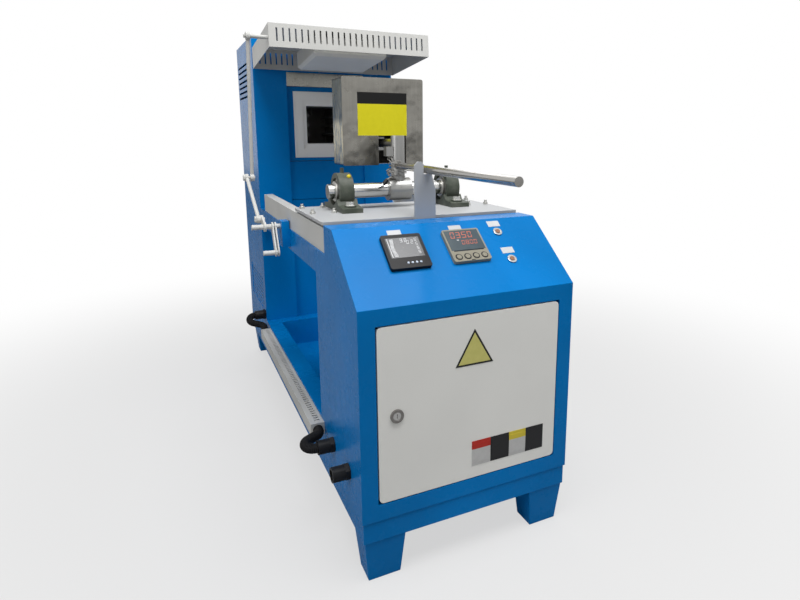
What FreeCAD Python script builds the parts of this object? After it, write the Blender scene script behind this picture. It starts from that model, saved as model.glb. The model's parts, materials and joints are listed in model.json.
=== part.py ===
import FreeCAD, Part
import Sketcher
import math
import os
import re

# Thermal shock test furnace: console, loading carriage and furnace cabinet on one long base.
# X is measured from the middle plane, Y from the console front, Z from the floor.
# Every shape is then shifted so that the origin is the bottom centre of the whole machine.

doc = FreeCAD.newDocument("thermal_shock_furnace")
sizes = doc.addObject("Spreadsheet::Sheet", "Sizes")
nodes = []
V = FreeCAD.Vector


# Sizes in millimetres, counts and degrees; each row of the sheet is a name and its value
SIZES = [
    # Whole machine
    ("body_width", "530"),
    ("total_depth", "1600"),
    ("left_reach", "368"),
    ("handle_reach", "160"),
    ("cabinet_top_z", "1310"),
    ("sheet_thick", "3"),
    ("panel_thick", "2"),
    ("fit_gap", "0.05"),
    ("part_gap", "0.5"),
    # Legs and base channel
    ("leg_height", "100"),
    ("leg_top_wide", "95"),
    ("leg_top_deep", "75"),
    ("leg_foot_wide", "75"),
    ("leg_foot_deep", "57"),
    ("leg_inset", "6"),
    ("base_height", "50"),
    ("base_flange", "60"),
    ("base_inset", "3"),
    # Side frames between console and cabinet
    ("sill_height", "100"),
    ("frame_deep", "50"),
    ("opening_front_y", "330"),
    ("opening_top_z", "632"),
    ("frame_top_z", "692"),
    ("cabinet_front_y", "1180"),
    ("pan_thick", "2"),
    ("cross_deep", "40"),
    # Console
    ("console_deep", "285"),
    ("fold_z", "622"),
    ("console_top_z", "760"),
    ("slope_run", "172"),
    ("step_y", "240"),
    ("door_half", "225"),
    ("door_low_z", "190"),
    ("door_high_z", "582"),
    ("door_corner", "10"),
    ("door_skin", "2"),
    ("door_deep", "12"),
    ("door_gap", "3"),
    ("lip_y", "17"),
    ("lip_wide", "12"),
    ("seal_thick", "5"),
    ("seal_wide", "8"),
    ("pivot_x", "217"),
    ("pivot_y", "6"),
    ("pivot_radius", "3"),
    ("lock_x", "184"),
    ("lock_z", "384"),
    ("lock_radius", "15"),
    ("lock_core_radius", "9"),
    ("lock_stand", "4"),
    ("lock_core_stand", "3"),
    ("lock_barrel_radius", "10"),
    ("cam_wide", "16"),
    ("cam_long", "50"),
    ("cam_thick", "2.5"),
    ("cam_y", "20.5"),
    ("cross_slot_long", "10"),
    ("cross_slot_wide", "1.6"),
    ("plate_thin", "0.6"),
    ("triangle_top_z", "548"),
    ("triangle_low_z", "465"),
    ("triangle_left", "46"),
    ("triangle_right", "49"),
    ("triangle_apex_x", "1"),
    ("strip_left", "3"),
    ("strip_right", "192"),
    ("strip_low_z", "219"),
    ("strip_high_z", "280"),
    ("strip_field_wide", "38"),
    ("strip_field_high", "46"),
    ("strip_pitch", "46"),
    # Slanted panel instruments, measured across from the middle and down the slope
    ("controller_x", "-14.5"),
    ("controller_v", "34"),
    ("meter_x", "-166"),
    ("meter_v", "36"),
    ("bezel_wide", "96"),
    ("bezel_stand", "9"),
    ("bezel_round", "5"),
    ("case_wide", "90"),
    ("case_deep", "70"),
    ("screen_inset", "9"),
    ("screen_high", "58"),
    ("screen_sink", "2"),
    ("key_radius", "6"),
    ("small_key_radius", "2.6"),
    ("small_key_first", "42"),
    ("small_key_pitch", "10"),
    ("key_hole_gap", "0.4"),
    ("key_stand", "1.4"),
    ("key_sink", "3"),
    ("key_up", "13"),
    ("key_first", "15"),
    ("key_pitch", "22"),
    ("button_x", "137"),
    ("button_upper_v", "45"),
    ("button_lower_v", "132"),
    ("button_ring_radius", "11.5"),
    ("button_ring_stand", "3"),
    ("button_hole_radius", "8"),
    ("button_cap_radius", "6"),
    ("button_cap_stand", "4.5"),
    ("button_body_deep", "34"),
    ("button_travel", "3"),
    ("label_wide", "33"),
    ("label_high", "18"),
    # Inside the console
    ("plate_half", "205"),
    ("plate_low_z", "205"),
    ("plate_high_z", "560"),
    ("plate_y", "245"),
    ("rail_35_high", "35"),
    ("rail_35_deep", "8"),
    # Carriage rails
    ("rail_inner_x", "232"),
    ("rail_outer_x", "262"),
    ("rail_high", "60"),
    ("rail_front_y", "248"),
    ("rail_rear_y", "1090"),
    ("roller_radius", "24"),
    ("roller_wide", "18"),
    ("roller_x", "237"),
    ("roller_axle_radius", "6"),
    ("roller_front_y", "297"),
    ("roller_rear_y", "505"),
    ("roller_lift", "0.3"),
    ("cheek_x", "221"),
    ("cheek_thick", "6"),
    ("cheek_wide", "44"),
    # Carriage plate and bearings
    ("plate_front_y", "250"),
    ("plate_rear_y", "550"),
    ("plate_z", "758"),
    ("plate_thick", "8"),
    ("shaft_y", "457"),
    ("shaft_z", "815"),
    ("shaft_radius", "20"),
    ("shaft_left", "196"),
    ("shaft_right", "190"),
    ("block_x", "155"),
    ("block_base_long", "184"),
    ("block_base_wide", "54"),
    ("block_base_high", "17"),
    ("block_boss_wide", "38"),
    ("block_boss_radius", "49"),
    ("block_bolt_pitch", "137"),
    ("block_slope_half", "68"),
    ("insert_radius", "36"),
    ("insert_wide", "46"),
    ("nipple_radius", "5"),
    ("nipple_high", "14"),
    ("bolt_radius", "6"),
    ("bolt_head_half", "9.5"),
    ("bolt_head_high", "8"),
    ("washer_radius", "13"),
    ("washer_thick", "2.5"),
    ("edge_bolt_x", "252"),
    ("inner_bolt_x", "196"),
    ("stud_radius", "4"),
    ("stud_high", "13"),
    ("nut_half", "6.5"),
    ("nut_high", "6.5"),
    ("edge_bolt_front_y", "395"),
    ("edge_bolt_rear_y", "515"),
    # Rod rest, tilting arm and steel box
    ("rest_left", "35"),
    ("rest_right", "22"),
    ("rest_top_z", "900"),
    ("rest_thick", "5"),
    ("rod_radius", "10"),
    ("rod_z", "880"),
    ("rod_seat_gap", "0.5"),
    ("arm_x", "5"),
    ("arm_radius", "19"),
    ("arm_top_z", "962"),
    ("hub_radius", "31"),
    ("hub_wide", "64"),
    ("spine_radius", "12.5"),
    ("spine_z", "940"),
    ("box_half", "123"),
    ("box_front_y", "550"),
    ("box_rear_y", "645"),
    ("box_low_z", "877"),
    ("box_high_z", "1123"),
    ("box_sheet", "1.5"),
    ("box_round", "6"),
    ("slot_left", "17"),
    ("slot_right", "68"),
    ("slot_top_z", "962"),
    ("slot_rear_y", "628"),
    ("caution_left", "78"),
    ("caution_right", "71"),
    ("caution_low_z", "961.5"),
    ("caution_high_z", "1082"),
    ("holder_half", "48"),
    ("holder_reach", "95"),
    ("holder_low_z", "955"),
    ("holder_thick", "8"),
    # Furnace cabinet
    ("recess_half", "147"),
    ("recess_panel_y", "1192"),
    ("mouth_face_y", "1188"),
    ("mouth_half", "123"),
    ("mouth_z", "1000"),
    ("mouth_hole_half_wide", "75"),
    ("mouth_hole_half_high", "70"),
    ("mouth_deep", "16"),
    ("mouth_bevel", "5"),
    ("band_low_z", "1140"),
    ("band_high_z", "1190"),
    ("upper_seam_z", "864"),
    ("lower_seam_z", "716"),
    ("seam_gap", "2"),
    ("lining_half", "190"),
    ("lining_low_z", "812"),
    ("lining_high_z", "1188"),
    ("lining_rear_y", "1560"),
    ("chamber_rear_y", "1500"),
    ("element_radius", "6"),
    ("element_x", "64"),
    ("element_pitch", "36"),
    ("probe_radius", "5"),
    ("probe_y", "1440"),
    ("probe_low_z", "1045"),
    ("louvre_count", "7"),
    ("louvre_first_z", "1104"),
    ("louvre_pitch", "20"),
    ("louvre_front_y", "1300"),
    ("louvre_long", "275"),
    ("louvre_high", "8"),
    ("mesh_front_y", "1231"),
    ("mesh_rear_y", "1529"),
    ("mesh_low_z", "283"),
    ("mesh_high_z", "419"),
    ("mesh_pitch_y", "22"),
    ("mesh_pitch_z", "15"),
    ("mesh_margin", "9"),
    ("mesh_diamond", "8"),
    ("mesh_diamond_high", "5"),
    # Furnace door flap, measured from its hinge axis
    ("hinge_y", "1170"),
    ("hinge_z", "1200"),
    ("flap_tilt", "5.2"),
    ("flap_far", "355"),
    ("flap_near", "8"),
    ("flap_rim", "6.8"),
    ("flap_high", "71"),
    ("flap_sheet", "1.5"),
    ("flap_slot_count", "26"),
    ("flap_slot_wide", "5"),
    ("flap_slot_long", "40"),
    ("flap_slot_up", "18"),
    ("flap_slot_span", "481"),
    ("plug_centre", "200"),
    ("plug_half", "123"),
    ("plug_stand", "10.7"),
    ("plug_top", "42"),
    ("plug_bevel", "9"),
    ("knuckle_radius", "5.5"),
    ("hinge_pin_radius", "3"),
    ("knuckle_long", "40"),
    ("knuckle_pitch", "180"),
    ("ear_wide", "8"),
    # Door linkage
    ("link_pin_y", "833"),
    ("link_pin_z", "1254"),
    ("link_pin_radius", "6"),
    ("elbow_y", "914"),
    ("elbow_z", "826"),
    ("crank_y", "660"),
    ("crank_z", "700"),
    ("clamp_y", "705"),
    ("clamp_z", "717"),
    ("link_rod_radius", "5.5"),
    ("link_rod_x", "324"),
    ("lower_rod_x", "340"),
    ("eye_radius", "12"),
    ("eye_thick", "12"),
    ("elbow_bolt_radius", "5"),
    ("cross_shaft_radius", "7.5"),
    ("lever_long_y", "40"),
    ("lever_long_z", "70"),
    ("lever_wide", "20"),
    ("lever_thick", "4"),
    ("lever_x", "300"),
    ("grip_radius", "7"),
    ("grip_long", "33"),
    ("lug_thick", "22"),
    ("lug_wide", "44"),
    ("lug_low_z", "640"),
    # Cable duct, glands and conduits
    ("duct_low_z", "212"),
    ("duct_high_z", "245"),
    ("duct_stand", "35"),
    ("duct_front_y", "302"),
    ("duct_rear_y", "1100"),
    ("duct_wall", "2"),
    ("conduit_radius", "12.5"),
    ("conduit_bend", "24"),
    ("conduit_swing", "60"),
    ("conduit_z", "228"),
    ("gland_long", "40"),
    ("gland_radius", "17"),
    ("gland_nut_radius", "20"),
    ("front_gland_y", "215"),
    ("spare_gland_y", "90"),
    ("rear_gland_y", "1200"),
    ("rear_gland_z", "272"),
]
for row, (name, number) in enumerate(SIZES, 1):
    sizes.set("A%d" % row, name)
    sizes.set("B%d" % row, number)
    sizes.setAlias("B%d" % row, name)
known = [name for name, number in SIZES]
doc.recompute()

half = "body_width / 2"
base_top = "(leg_height + base_height)"
sill_top = "(leg_height + base_height + sill_height)"
MACHINE = ("(left_reach - body_width / 2) / 2", "(handle_reach - total_depth) / 2", "0")
LOCAL = ("0", "0", "0")
slope_angle = "atan((console_top_z - fold_z) / slope_run)"
X_AXIS = FreeCAD.Rotation(V(0, 1, 0), 90)
Y_AXIS = FreeCAD.Rotation(V(1, 0, 0), -90)
Z_AXIS = FreeCAD.Rotation()
AXES = {"x": X_AXIS, "y": Y_AXIS, "z": Z_AXIS}
PLANES = {"x": "YZ_Plane", "y": "XZ_Plane", "z": "XY_Plane"}


def full(text):
    """Turn plain size names into references to the sheet."""
    def swap(match):
        word = match.group(0)
        return "Sizes." + word if word in known else word
    return re.sub(r"[a-z][a-z_0-9]*", swap, text)


def bind(item, prop, text):
    """Bind one property to an expression of named sizes."""
    item.setExpression(prop, full(text))


def value(text):
    """Read one expression of named sizes as a number."""
    words = {name: float(sizes.get(name)) for name in known if name in text}
    for name in sorted(words, key=len, reverse=True):
        text = re.sub(r"\b" + name + r"\b", repr(words[name]), text)
    return float(FreeCAD.Units.Quantity(text).Value)


def put(item, x, y, z, at=MACHINE):
    """Place an item at a point of the chosen frame."""
    bind(item, "Placement.Base.x", at[0] + " + " + x)
    bind(item, "Placement.Base.y", at[1] + " + " + y)
    bind(item, "Placement.Base.z", at[2] + " + " + z)


def box(name, x, y, z, wide, deep, high, at=MACHINE):
    """Box from its low corner with its size along X, Y and Z."""
    item = doc.addObject("Part::Box", name)
    bind(item, "Length", wide)
    bind(item, "Width", deep)
    bind(item, "Height", high)
    put(item, x, y, z, at)
    return item


def slab(name, x, y, z, at=MACHINE):
    """Box between two low and high places along each axis."""
    return box(name, x[0], y[0], z[0], "(%s) - (%s)" % (x[1], x[0]), "(%s) - (%s)" % (y[1], y[0]),
               "(%s) - (%s)" % (z[1], z[0]), at)


def rod(name, axis, x, y, z, radius, length, at=MACHINE):
    """Cylinder along one axis from the centre of its low end."""
    item = doc.addObject("Part::Cylinder", name)
    bind(item, "Radius", radius)
    bind(item, "Height", length)
    item.Placement = FreeCAD.Placement(V(0, 0, 0), AXES[axis])
    put(item, x, y, z, at)
    return item


def slant_rod(name, x, start, end, radius):
    """Cylinder between two points of a plane across the machine."""
    run = "((" + end[0] + ") - (" + start[0] + "))"
    rise = "((" + end[1] + ") - (" + start[1] + "))"
    item = doc.addObject("Part::Cylinder", name)
    bind(item, "Radius", radius)
    bind(item, "Height", "sqrt(" + run + "^2 + " + rise + "^2)")
    item.Placement = FreeCAD.Placement(V(0, 0, 0), FreeCAD.Rotation(V(1, 0, 0), 10))
    bind(item, "Placement.Rotation.Angle", "atan2(-" + run + "; " + rise + ")")
    put(item, x, start[0], start[1])
    return item


def fuse(name, *items):
    """Join several shapes."""
    item = doc.addObject("Part::MultiFuse", name)
    item.Shapes = list(items)
    return item


def cut(name, base, *tools):
    """Take one or more shapes away from a base."""
    item = doc.addObject("Part::Cut", name)
    item.Base = base
    item.Tool = tools[0] if len(tools) == 1 else fuse(name + "_tools", *tools)
    return item


def body(name, at=MACHINE):
    """Start a body whose own frame is the chosen frame."""
    item = doc.addObject("PartDesign::Body", name)
    put(item, "0", "0", "0", at)
    return item


def outline(owner, name, axis, points, offset="0"):
    """Closed sketch of straight edges; every corner is held by two named lengths."""
    sketch = owner.newObject("Sketcher::SketchObject", name)
    planes = owner.Origin.OriginFeatures
    plane = [item for item in planes if item.Role == PLANES[axis]][0]
    sketch.AttachmentSupport = [(plane, "")]
    sketch.MapMode = "FlatFace"
    sign = "-1 * " if axis == "y" else ""
    bind(sketch, "AttachmentOffset.Base.z", sign + "(" + offset + ")")
    spots = [(value(a), value(b)) for a, b in points]
    total = len(points)
    for i in range(total):
        a = spots[i]
        b = spots[(i + 1) % total]
        sketch.addGeometry(Part.LineSegment(V(a[0], a[1], 0), V(b[0], b[1], 0)))
    for i in range(total):
        sketch.addConstraint(Sketcher.Constraint("Coincident", i, 2, (i + 1) % total, 1))
    for i in range(total):
        across = sketch.addConstraint(Sketcher.Constraint("DistanceX", -1, 1, i, 1, spots[i][0]))
        bind(sketch, "Constraints[%d]" % across, points[i][0])
        along = sketch.addConstraint(Sketcher.Constraint("DistanceY", -1, 1, i, 1, spots[i][1]))
        bind(sketch, "Constraints[%d]" % along, points[i][1])
    return sketch


def corners(low_a, low_b, high_a, high_b):
    """Four corners of a rectangle."""
    return [(low_a, low_b), (high_a, low_b), (high_a, high_b), (low_a, high_b)]


def pad(owner, name, axis, points, start, length):
    """Pad of an outline from start over a length along the positive axis."""
    if axis == "y":
        start = "(" + start + ") + (" + length + ")"
    sketch = outline(owner, name + "_outline", axis, points, start)
    item = owner.newObject("PartDesign::Pad", name)
    item.Profile = sketch
    bind(item, "Length", length)
    return item


def pocket(owner, name, axis, points, middle, length):
    """Pocket of an outline, as deep on both sides of its middle plane."""
    sketch = outline(owner, name + "_outline", axis, points, middle)
    item = owner.newObject("PartDesign::Pocket", name)
    item.Profile = sketch
    item.Type = "Length"
    item.SideType = "Symmetric"
    bind(item, "Length", length)
    return item


def repeat(owner, name, feature, line, span, count, back=False):
    """Repeat a feature along one axis of its sketch."""
    item = owner.newObject("PartDesign::LinearPattern", name)
    item.Originals = [feature]
    item.Direction = (feature.Profile[0], [line])
    item.Reversed = back
    bind(item, "Length", span)
    bind(item, "Occurrences", count)
    owner.Tip = item
    return item


def dress(owner, kind, name, feature, amount, pick):
    """Round or bevel the edges of a feature that the pick accepts."""
    doc.recompute()
    edges = feature.Shape.Edges
    chosen = ["Edge%d" % (i + 1) for i, edge in enumerate(edges) if pick(edge)]
    item = owner.newObject("PartDesign::" + kind, name)
    item.Base = (feature, chosen)
    bind(item, "Radius" if kind == "Fillet" else "Size", amount)
    return item


def keep(item, name):
    """Record a finished sub-part under its node name."""
    item.Label = name
    nodes.append(item)
    return item


def weld(name, *labels):
    """Join finished sub-parts that are fixed to one another into one."""
    chosen = [item for item in nodes if item.Label in labels]
    for item in chosen:
        nodes.remove(item)
    return keep(fuse(name + "_whole", *chosen), name)


def group(name, *items):
    """Hold pieces that touch one another as one sub-part."""
    item = doc.addObject("Part::Compound", name)
    item.Links = list(items)
    return item


def join(name, *labels):
    """Hold finished sub-parts that are fixed to one another as one."""
    chosen = [item for item in nodes if item.Label in labels]
    for item in chosen:
        nodes.remove(item)
    return keep(group(name + "_whole", *chosen), name)


def along(edge, axis):
    """True for a straight edge along one axis."""
    ends = edge.Vertexes
    if len(ends) < 2:
        return False
    step = ends[1].Point - ends[0].Point
    return abs(step[axis]) > 0.99 * step.Length


def gather(item):
    """Hold one plain shape so that the whole can be placed again."""
    holder = doc.addObject("Part::Compound", item.Name + "_set")
    holder.Links = [item]
    return holder


def on_slope(item):
    """Place a local shape on the slanted panel; its Y runs up the slope, its Z stands out."""
    if item.TypeId in ("Part::Box", "Part::Cylinder"):
        item = gather(item)
    item.Placement = FreeCAD.Placement(V(0, 0, 0), FreeCAD.Rotation(V(1, 0, 0), 10))
    bind(item, "Placement.Rotation.Angle", slope_angle)
    put(item, "0", "slope_run", "console_top_z")
    return item


def on_flap(item):
    """Place a local shape on the flap; its origin is the hinge axis."""
    item.Placement = FreeCAD.Placement(V(0, 0, 0), FreeCAD.Rotation(V(1, 0, 0), -5))
    bind(item, "Placement.Rotation.Angle", "-flap_tilt")
    put(item, "0", "hinge_y", "hinge_z")
    return item


# Four tapered legs
legs = []
leg_mid_x = "(" + half + " - leg_inset - leg_top_wide / 2)"
leg_mid_y = "(leg_inset + leg_top_deep / 2)"
for number, (side, depth) in enumerate((
        ("-1", leg_mid_y), ("1", leg_mid_y),
        ("-1", "(total_depth - " + leg_mid_y + ")"), ("1", "(total_depth - " + leg_mid_y + ")"))):
    leg = doc.addObject("Part::Wedge", "leg_%d" % (number + 1))
    leg.Placement = FreeCAD.Placement(V(0, 0, 0), FreeCAD.Rotation(V(1, 0, 0), 90))
    bind(leg, "Ymin", "0")
    bind(leg, "Ymax", "leg_height")
    bind(leg, "Xmin", "-leg_foot_wide / 2")
    bind(leg, "Xmax", "leg_foot_wide / 2")
    bind(leg, "Zmin", "-leg_foot_deep / 2")
    bind(leg, "Zmax", "leg_foot_deep / 2")
    bind(leg, "X2min", "-leg_top_wide / 2")
    bind(leg, "X2max", "leg_top_wide / 2")
    bind(leg, "Z2min", "-leg_top_deep / 2")
    bind(leg, "Z2max", "leg_top_deep / 2")
    put(leg, side + " * " + leg_mid_x, depth, "0")
    legs.append(leg)

# Base ring of channel bars, open inwards: flanges and webs of sheet
base_side = "(" + half + " - base_inset)"
base_end = "(total_depth - base_inset)"
bars = []
for level, low in (("low", "leg_height"), ("high", "leg_height + base_height - sheet_thick")):
    tall = (low, low + " + sheet_thick")
    for word, start in (("left", "-1 * " + base_side), ("right", base_side + " - base_flange")):
        bars.append(slab("base_%s_flange_%s" % (word, level), (start, start + " + base_flange"),
                          ("base_inset", base_end), tall))
    for word, start in (("front", "base_inset"), ("rear", base_end + " - base_flange")):
        bars.append(slab("base_%s_flange_%s" % (word, level),
                          ("-1 * " + base_side + " + base_flange", base_side + " - base_flange"),
                          (start, start + " + base_flange"), tall))
tall = ("leg_height + sheet_thick", "leg_height + base_height - sheet_thick")
for word, start in (("left", "-1 * " + base_side), ("right", base_side + " - sheet_thick")):
    bars.append(slab("base_%s_web" % word, (start, start + " + sheet_thick"), ("base_inset", base_end), tall))
for word, start in (("front", "base_inset"), ("rear", base_end + " - sheet_thick")):
    bars.append(slab("base_%s_web" % word,
                      ("-1 * " + base_side + " + sheet_thick", base_side + " - sheet_thick"),
                      (start, start + " + sheet_thick"), tall))
keep(group("legs_and_bars", *legs, *bars), "base_frame")

# Side frames with sill, post and top rail as channels open inwards
run = ("console_deep", "cabinet_front_y")
for word in ("left", "right"):
    web = ("-" + half, "-" + half + " + sheet_thick")
    lip = ("-" + half + " + sheet_thick", "-" + half + " + frame_deep")
    if word == "right":
        web = (half + " - sheet_thick", half)
        lip = (half + " - frame_deep", half + " - sheet_thick")
    pieces = [
        slab("sill_web_" + word, web, run, (base_top, sill_top)),
        slab("post_web_" + word, web, ("console_deep", "opening_front_y"), (sill_top, "opening_top_z")),
        slab("top_web_" + word, web, run, ("opening_top_z", "frame_top_z")),
        slab("sill_foot_" + word, lip, run, (base_top, base_top + " + sheet_thick")),
        slab("top_cap_" + word, lip, run, ("frame_top_z - sheet_thick", "frame_top_z")),
        slab("post_front_" + word, lip, ("console_deep", "console_deep + sheet_thick"),
              (base_top + " + sheet_thick", "frame_top_z - sheet_thick")),
        slab("sill_cap_" + word, lip, ("opening_front_y", "cabinet_front_y"),
              (sill_top + " - sheet_thick", sill_top)),
        slab("top_foot_" + word, lip, ("opening_front_y", "cabinet_front_y"),
              ("opening_top_z", "opening_top_z + sheet_thick")),
        slab("post_rear_" + word, lip, ("opening_front_y - sheet_thick", "opening_front_y"),
              (sill_top + " - sheet_thick", "opening_top_z + sheet_thick")),
        slab("sill_end_" + word, lip, ("cabinet_front_y - sheet_thick", "cabinet_front_y"),
              (base_top + " + sheet_thick", sill_top + " - sheet_thick")),
        slab("top_end_" + word, lip, ("cabinet_front_y - sheet_thick", "cabinet_front_y"),
              ("opening_top_z + sheet_thick", "frame_top_z - sheet_thick"))]
    keep(group("side_frame_" + word + "_set", *pieces), "side_frame_" + word)

# Cross member, bottom pan
inner_half = "(" + half + " - frame_deep)"
across = ("-1 * " + inner_half, inner_half)
cross_start = "cabinet_front_y - cross_deep"
keep(group(
    "cross_member_set",
    slab("cross_web", across, (cross_start, cross_start + " + sheet_thick"),
         (base_top + " + pan_thick", sill_top)),
    slab("cross_foot", across, (cross_start + " + sheet_thick", "cabinet_front_y"),
          (base_top + " + pan_thick", base_top + " + pan_thick + sheet_thick")),
    slab("cross_cap", across, (cross_start + " + sheet_thick", "cabinet_front_y"),
          (sill_top + " - sheet_thick", sill_top))), "cross_member")
keep(slab("bottom_pan", across, run, (base_top, base_top + " + pan_thick")), "bottom_pan")

# Console of sheet: two sides, front with door frame, slanted panel with cut-outs, top, step, rear, bottom
slope_long = "sqrt(slope_run^2 + (console_top_z - fold_z)^2)"
inner_fold = "(fold_z - panel_thick * (" + slope_long + " - console_top_z + fold_z) / slope_run)"
inner_crest = "(slope_run + panel_thick * (" + slope_long + " - slope_run) / (console_top_z - fold_z))"
gland_holes = [rod("gland_hole_%d" % i, "x", "-" + half + " - 5", place, "conduit_z",
                   "gland_radius - 5", "10")
               for i, place in enumerate(("front_gland_y", "spare_gland_y"))]
sides = []
for word, start in (("left", "-" + half), ("right", half + " - panel_thick")):
    side = body("console_side_" + word)
    pad(side, "side_sheet_" + word, "x", [
        ("0", base_top), ("console_deep", base_top), ("console_deep", "frame_top_z"),
        ("step_y", "frame_top_z"), ("step_y", "console_top_z"), ("slope_run", "console_top_z"),
        ("0", "fold_z")], start, "panel_thick")
    sides.append(side)
keep(group("console_sides_set", cut("left_side_sheet", sides[0], *gland_holes), sides[1]), "console_sides")
inside = "(" + half + " - panel_thick)"
hole_half = "(door_half + door_gap)"
hole_low = "(door_low_z - door_gap)"
hole_high = "(door_high_z + door_gap)"
front = []
for word, start, wide in (("left", "-1 * " + inside, inside + " - " + hole_half),
                          ("right", hole_half, inside + " - " + hole_half)):
    bar = body("front_bar_" + word)
    pad(bar, "front_sheet_" + word, "x", [
        ("0", base_top), ("panel_thick", base_top), ("panel_thick", inner_fold), ("0", "fold_z")], start, wide)
    front.append(bar)
bar = body("front_bar_top")
pad(bar, "front_sheet_top", "x", [
    ("0", hole_high), ("panel_thick", hole_high), ("panel_thick", inner_fold), ("0", "fold_z")],
    "-1 * " + hole_half, "2 * " + hole_half)
front.append(bar)
front.append(slab("front_bar_low", ("-1 * " + hole_half, hole_half), ("0", "panel_thick"),
                  (base_top, hole_low)))
deep = ("panel_thick", "lip_y + panel_thick")
lip_deep = ("lip_y", "lip_y + panel_thick")
lip_half = "(" + hole_half + " - lip_wide)"
tall = (hole_low + " - panel_thick", hole_high + " + panel_thick")
for word, x in (("left", ("-1 * " + hole_half + " - panel_thick", "-1 * " + hole_half)),
                ("right", (hole_half, hole_half + " + panel_thick"))):
    front.append(slab("door_return_" + word, x, deep, tall))
for word, x in (("left", ("-1 * " + hole_half, "-1 * " + lip_half)), ("right", (lip_half, hole_half))):
    front.append(slab("door_lip_" + word, x, lip_deep, (hole_low, hole_high)))
for word, start, lip_start, pin_start in (
        ("low", hole_low + " - panel_thick", hole_low, hole_low),
        ("high", hole_high, hole_high + " - lip_wide", hole_high + " - door_gap - door_skin - 4")):
    front.append(slab("door_return_" + word, ("-1 * " + hole_half, hole_half), deep,
                       (start, start + " + panel_thick")))
    front.append(slab("door_lip_" + word, ("-1 * " + lip_half, lip_half), lip_deep,
                       (lip_start, lip_start + " + lip_wide")))
    front.append(rod("pivot_pin_" + word, "z", "pivot_x", "pivot_y", pin_start, "pivot_radius",
                     "door_gap + door_skin + 4"))
keep(group("console_front_set", *front), "console_front")
cuts = []
for name, left, down in (("controller", "controller_x", "controller_v"), ("meter", "meter_x", "meter_v")):
    inset = "(bezel_wide - case_wide) / 2 - part_gap / 2"
    hole = box(name + "_cutout", left + " + " + inset, "-1 * (" + down + " + bezel_wide) + " + inset,
               "-10", "case_wide + part_gap", "case_wide + part_gap", "20", LOCAL)
    cuts.append(hole)
for name, down in (("upper", "button_upper_v"), ("lower", "button_lower_v")):
    cuts.append(rod(name + "_button_hole", "z", "button_x", "-1 * " + down, "-10",
                    "button_hole_radius + fit_gap", "20", LOCAL))
panel_holes = on_slope(fuse("panel_holes", *cuts))
slope = body("slanted_sheet")
pad(slope, "slope_pad", "x", [
    ("0", "fold_z"), ("panel_thick", inner_fold), (inner_crest, "console_top_z - panel_thick"),
    ("slope_run", "console_top_z")], "-1 * " + inside, "2 * " + inside)
crest = body("top_sheet")
pad(crest, "top_pad", "x", [
    ("slope_run", "console_top_z"), (inner_crest, "console_top_z - panel_thick"),
    ("step_y", "console_top_z - panel_thick"), ("step_y", "console_top_z")],
    "-1 * " + inside, "2 * " + inside)
across = ("-1 * " + inside, inside)
keep(group(
    "console_set", cut("slanted_panel", slope, panel_holes), crest,
    slab("step_sheet", across, ("step_y - panel_thick", "step_y"),
          ("frame_top_z - panel_thick", "console_top_z - panel_thick")),
    slab("shelf_sheet", across, ("step_y", "console_deep"), ("frame_top_z - panel_thick", "frame_top_z")),
    slab("rear_sheet", across, ("console_deep - panel_thick", "console_deep"),
          (base_top, "frame_top_z - panel_thick")),
    slab("bottom_sheet", across, ("panel_thick", "console_deep - panel_thick"),
          (base_top, base_top + " + panel_thick"))), "console_housing")

# Console door: inset pan with rounded corners on two pivot pins, with seal and lock
door = body("door_pan")
skin = pad(door, "door_block", "y", corners(
    "-door_half", "door_low_z", "door_half", "door_high_z"), "0", "door_deep")
dress(door, "Fillet", "door_corners", skin, "door_corner", lambda edge: along(edge, 1))
pocket(door, "door_back", "y", corners(
    "-door_half + door_skin", "door_low_z + door_skin", "door_half - door_skin", "door_high_z - door_skin"),
    "door_skin + 20", "40")
lock_bore = rod("lock_bore", "y", "-lock_x", "-30", "lock_z", "lock_barrel_radius + fit_gap", "60")
pivot_bore = rod("pivot_bore", "z", "pivot_x", "pivot_y", "door_low_z - 5", "pivot_radius + fit_gap",
                 "door_high_z - door_low_z + 10")
keep(cut("console_door", door, lock_bore, pivot_bore), "console_door")
seal_deep = ("door_deep", "door_deep + seal_thick")
seal_right = "(pivot_x - seal_wide)"
keep(group(
    "door_seal_set",
    slab("seal_left", ("-door_half", "-door_half + seal_wide"), seal_deep, ("door_low_z", "door_high_z")),
    slab("seal_low", ("-door_half + seal_wide", seal_right), seal_deep, ("door_low_z", "door_low_z + seal_wide")),
    slab("seal_high", ("-door_half + seal_wide", seal_right), seal_deep,
          ("door_high_z - seal_wide", "door_high_z"))), "door_seal")
flange_ring = rod("lock_flange", "y", "-lock_x", "-lock_stand", "lock_z",
                  "lock_radius", "lock_stand")
barrel = rod("lock_barrel", "y", "-lock_x", "-0.5", "lock_z", "lock_barrel_radius", "cam_y + 0.3")
lock_core_bore = rod("lock_core_bore", "y", "-lock_x", "-lock_stand - 1", "lock_z",
                     "lock_core_radius + fit_gap", "60")
lock_body = fuse("lock_body", flange_ring, barrel)
keep(cut("lock_housing", lock_body, lock_core_bore), "lock_housing")
core = rod("lock_core_rod", "y", "-lock_x", "-lock_core_stand", "lock_z",
           "lock_core_radius", "cam_y + cam_thick + lock_core_stand")
slot = box("lock_slot", "-lock_x - cross_slot_wide / 2", "-lock_core_stand - 1",
           "lock_z - cross_slot_long / 2", "cross_slot_wide", "4", "cross_slot_long")
cam = box("lock_cam", "-lock_x - cam_wide / 2", "cam_y", "lock_z - cam_wide / 2",
          "cam_wide", "cam_thick", "cam_long")
keep(cut("lock_core", fuse("lock_core_all", core, cam), slot), "lock_core")
triangle = body("triangle_body")
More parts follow.
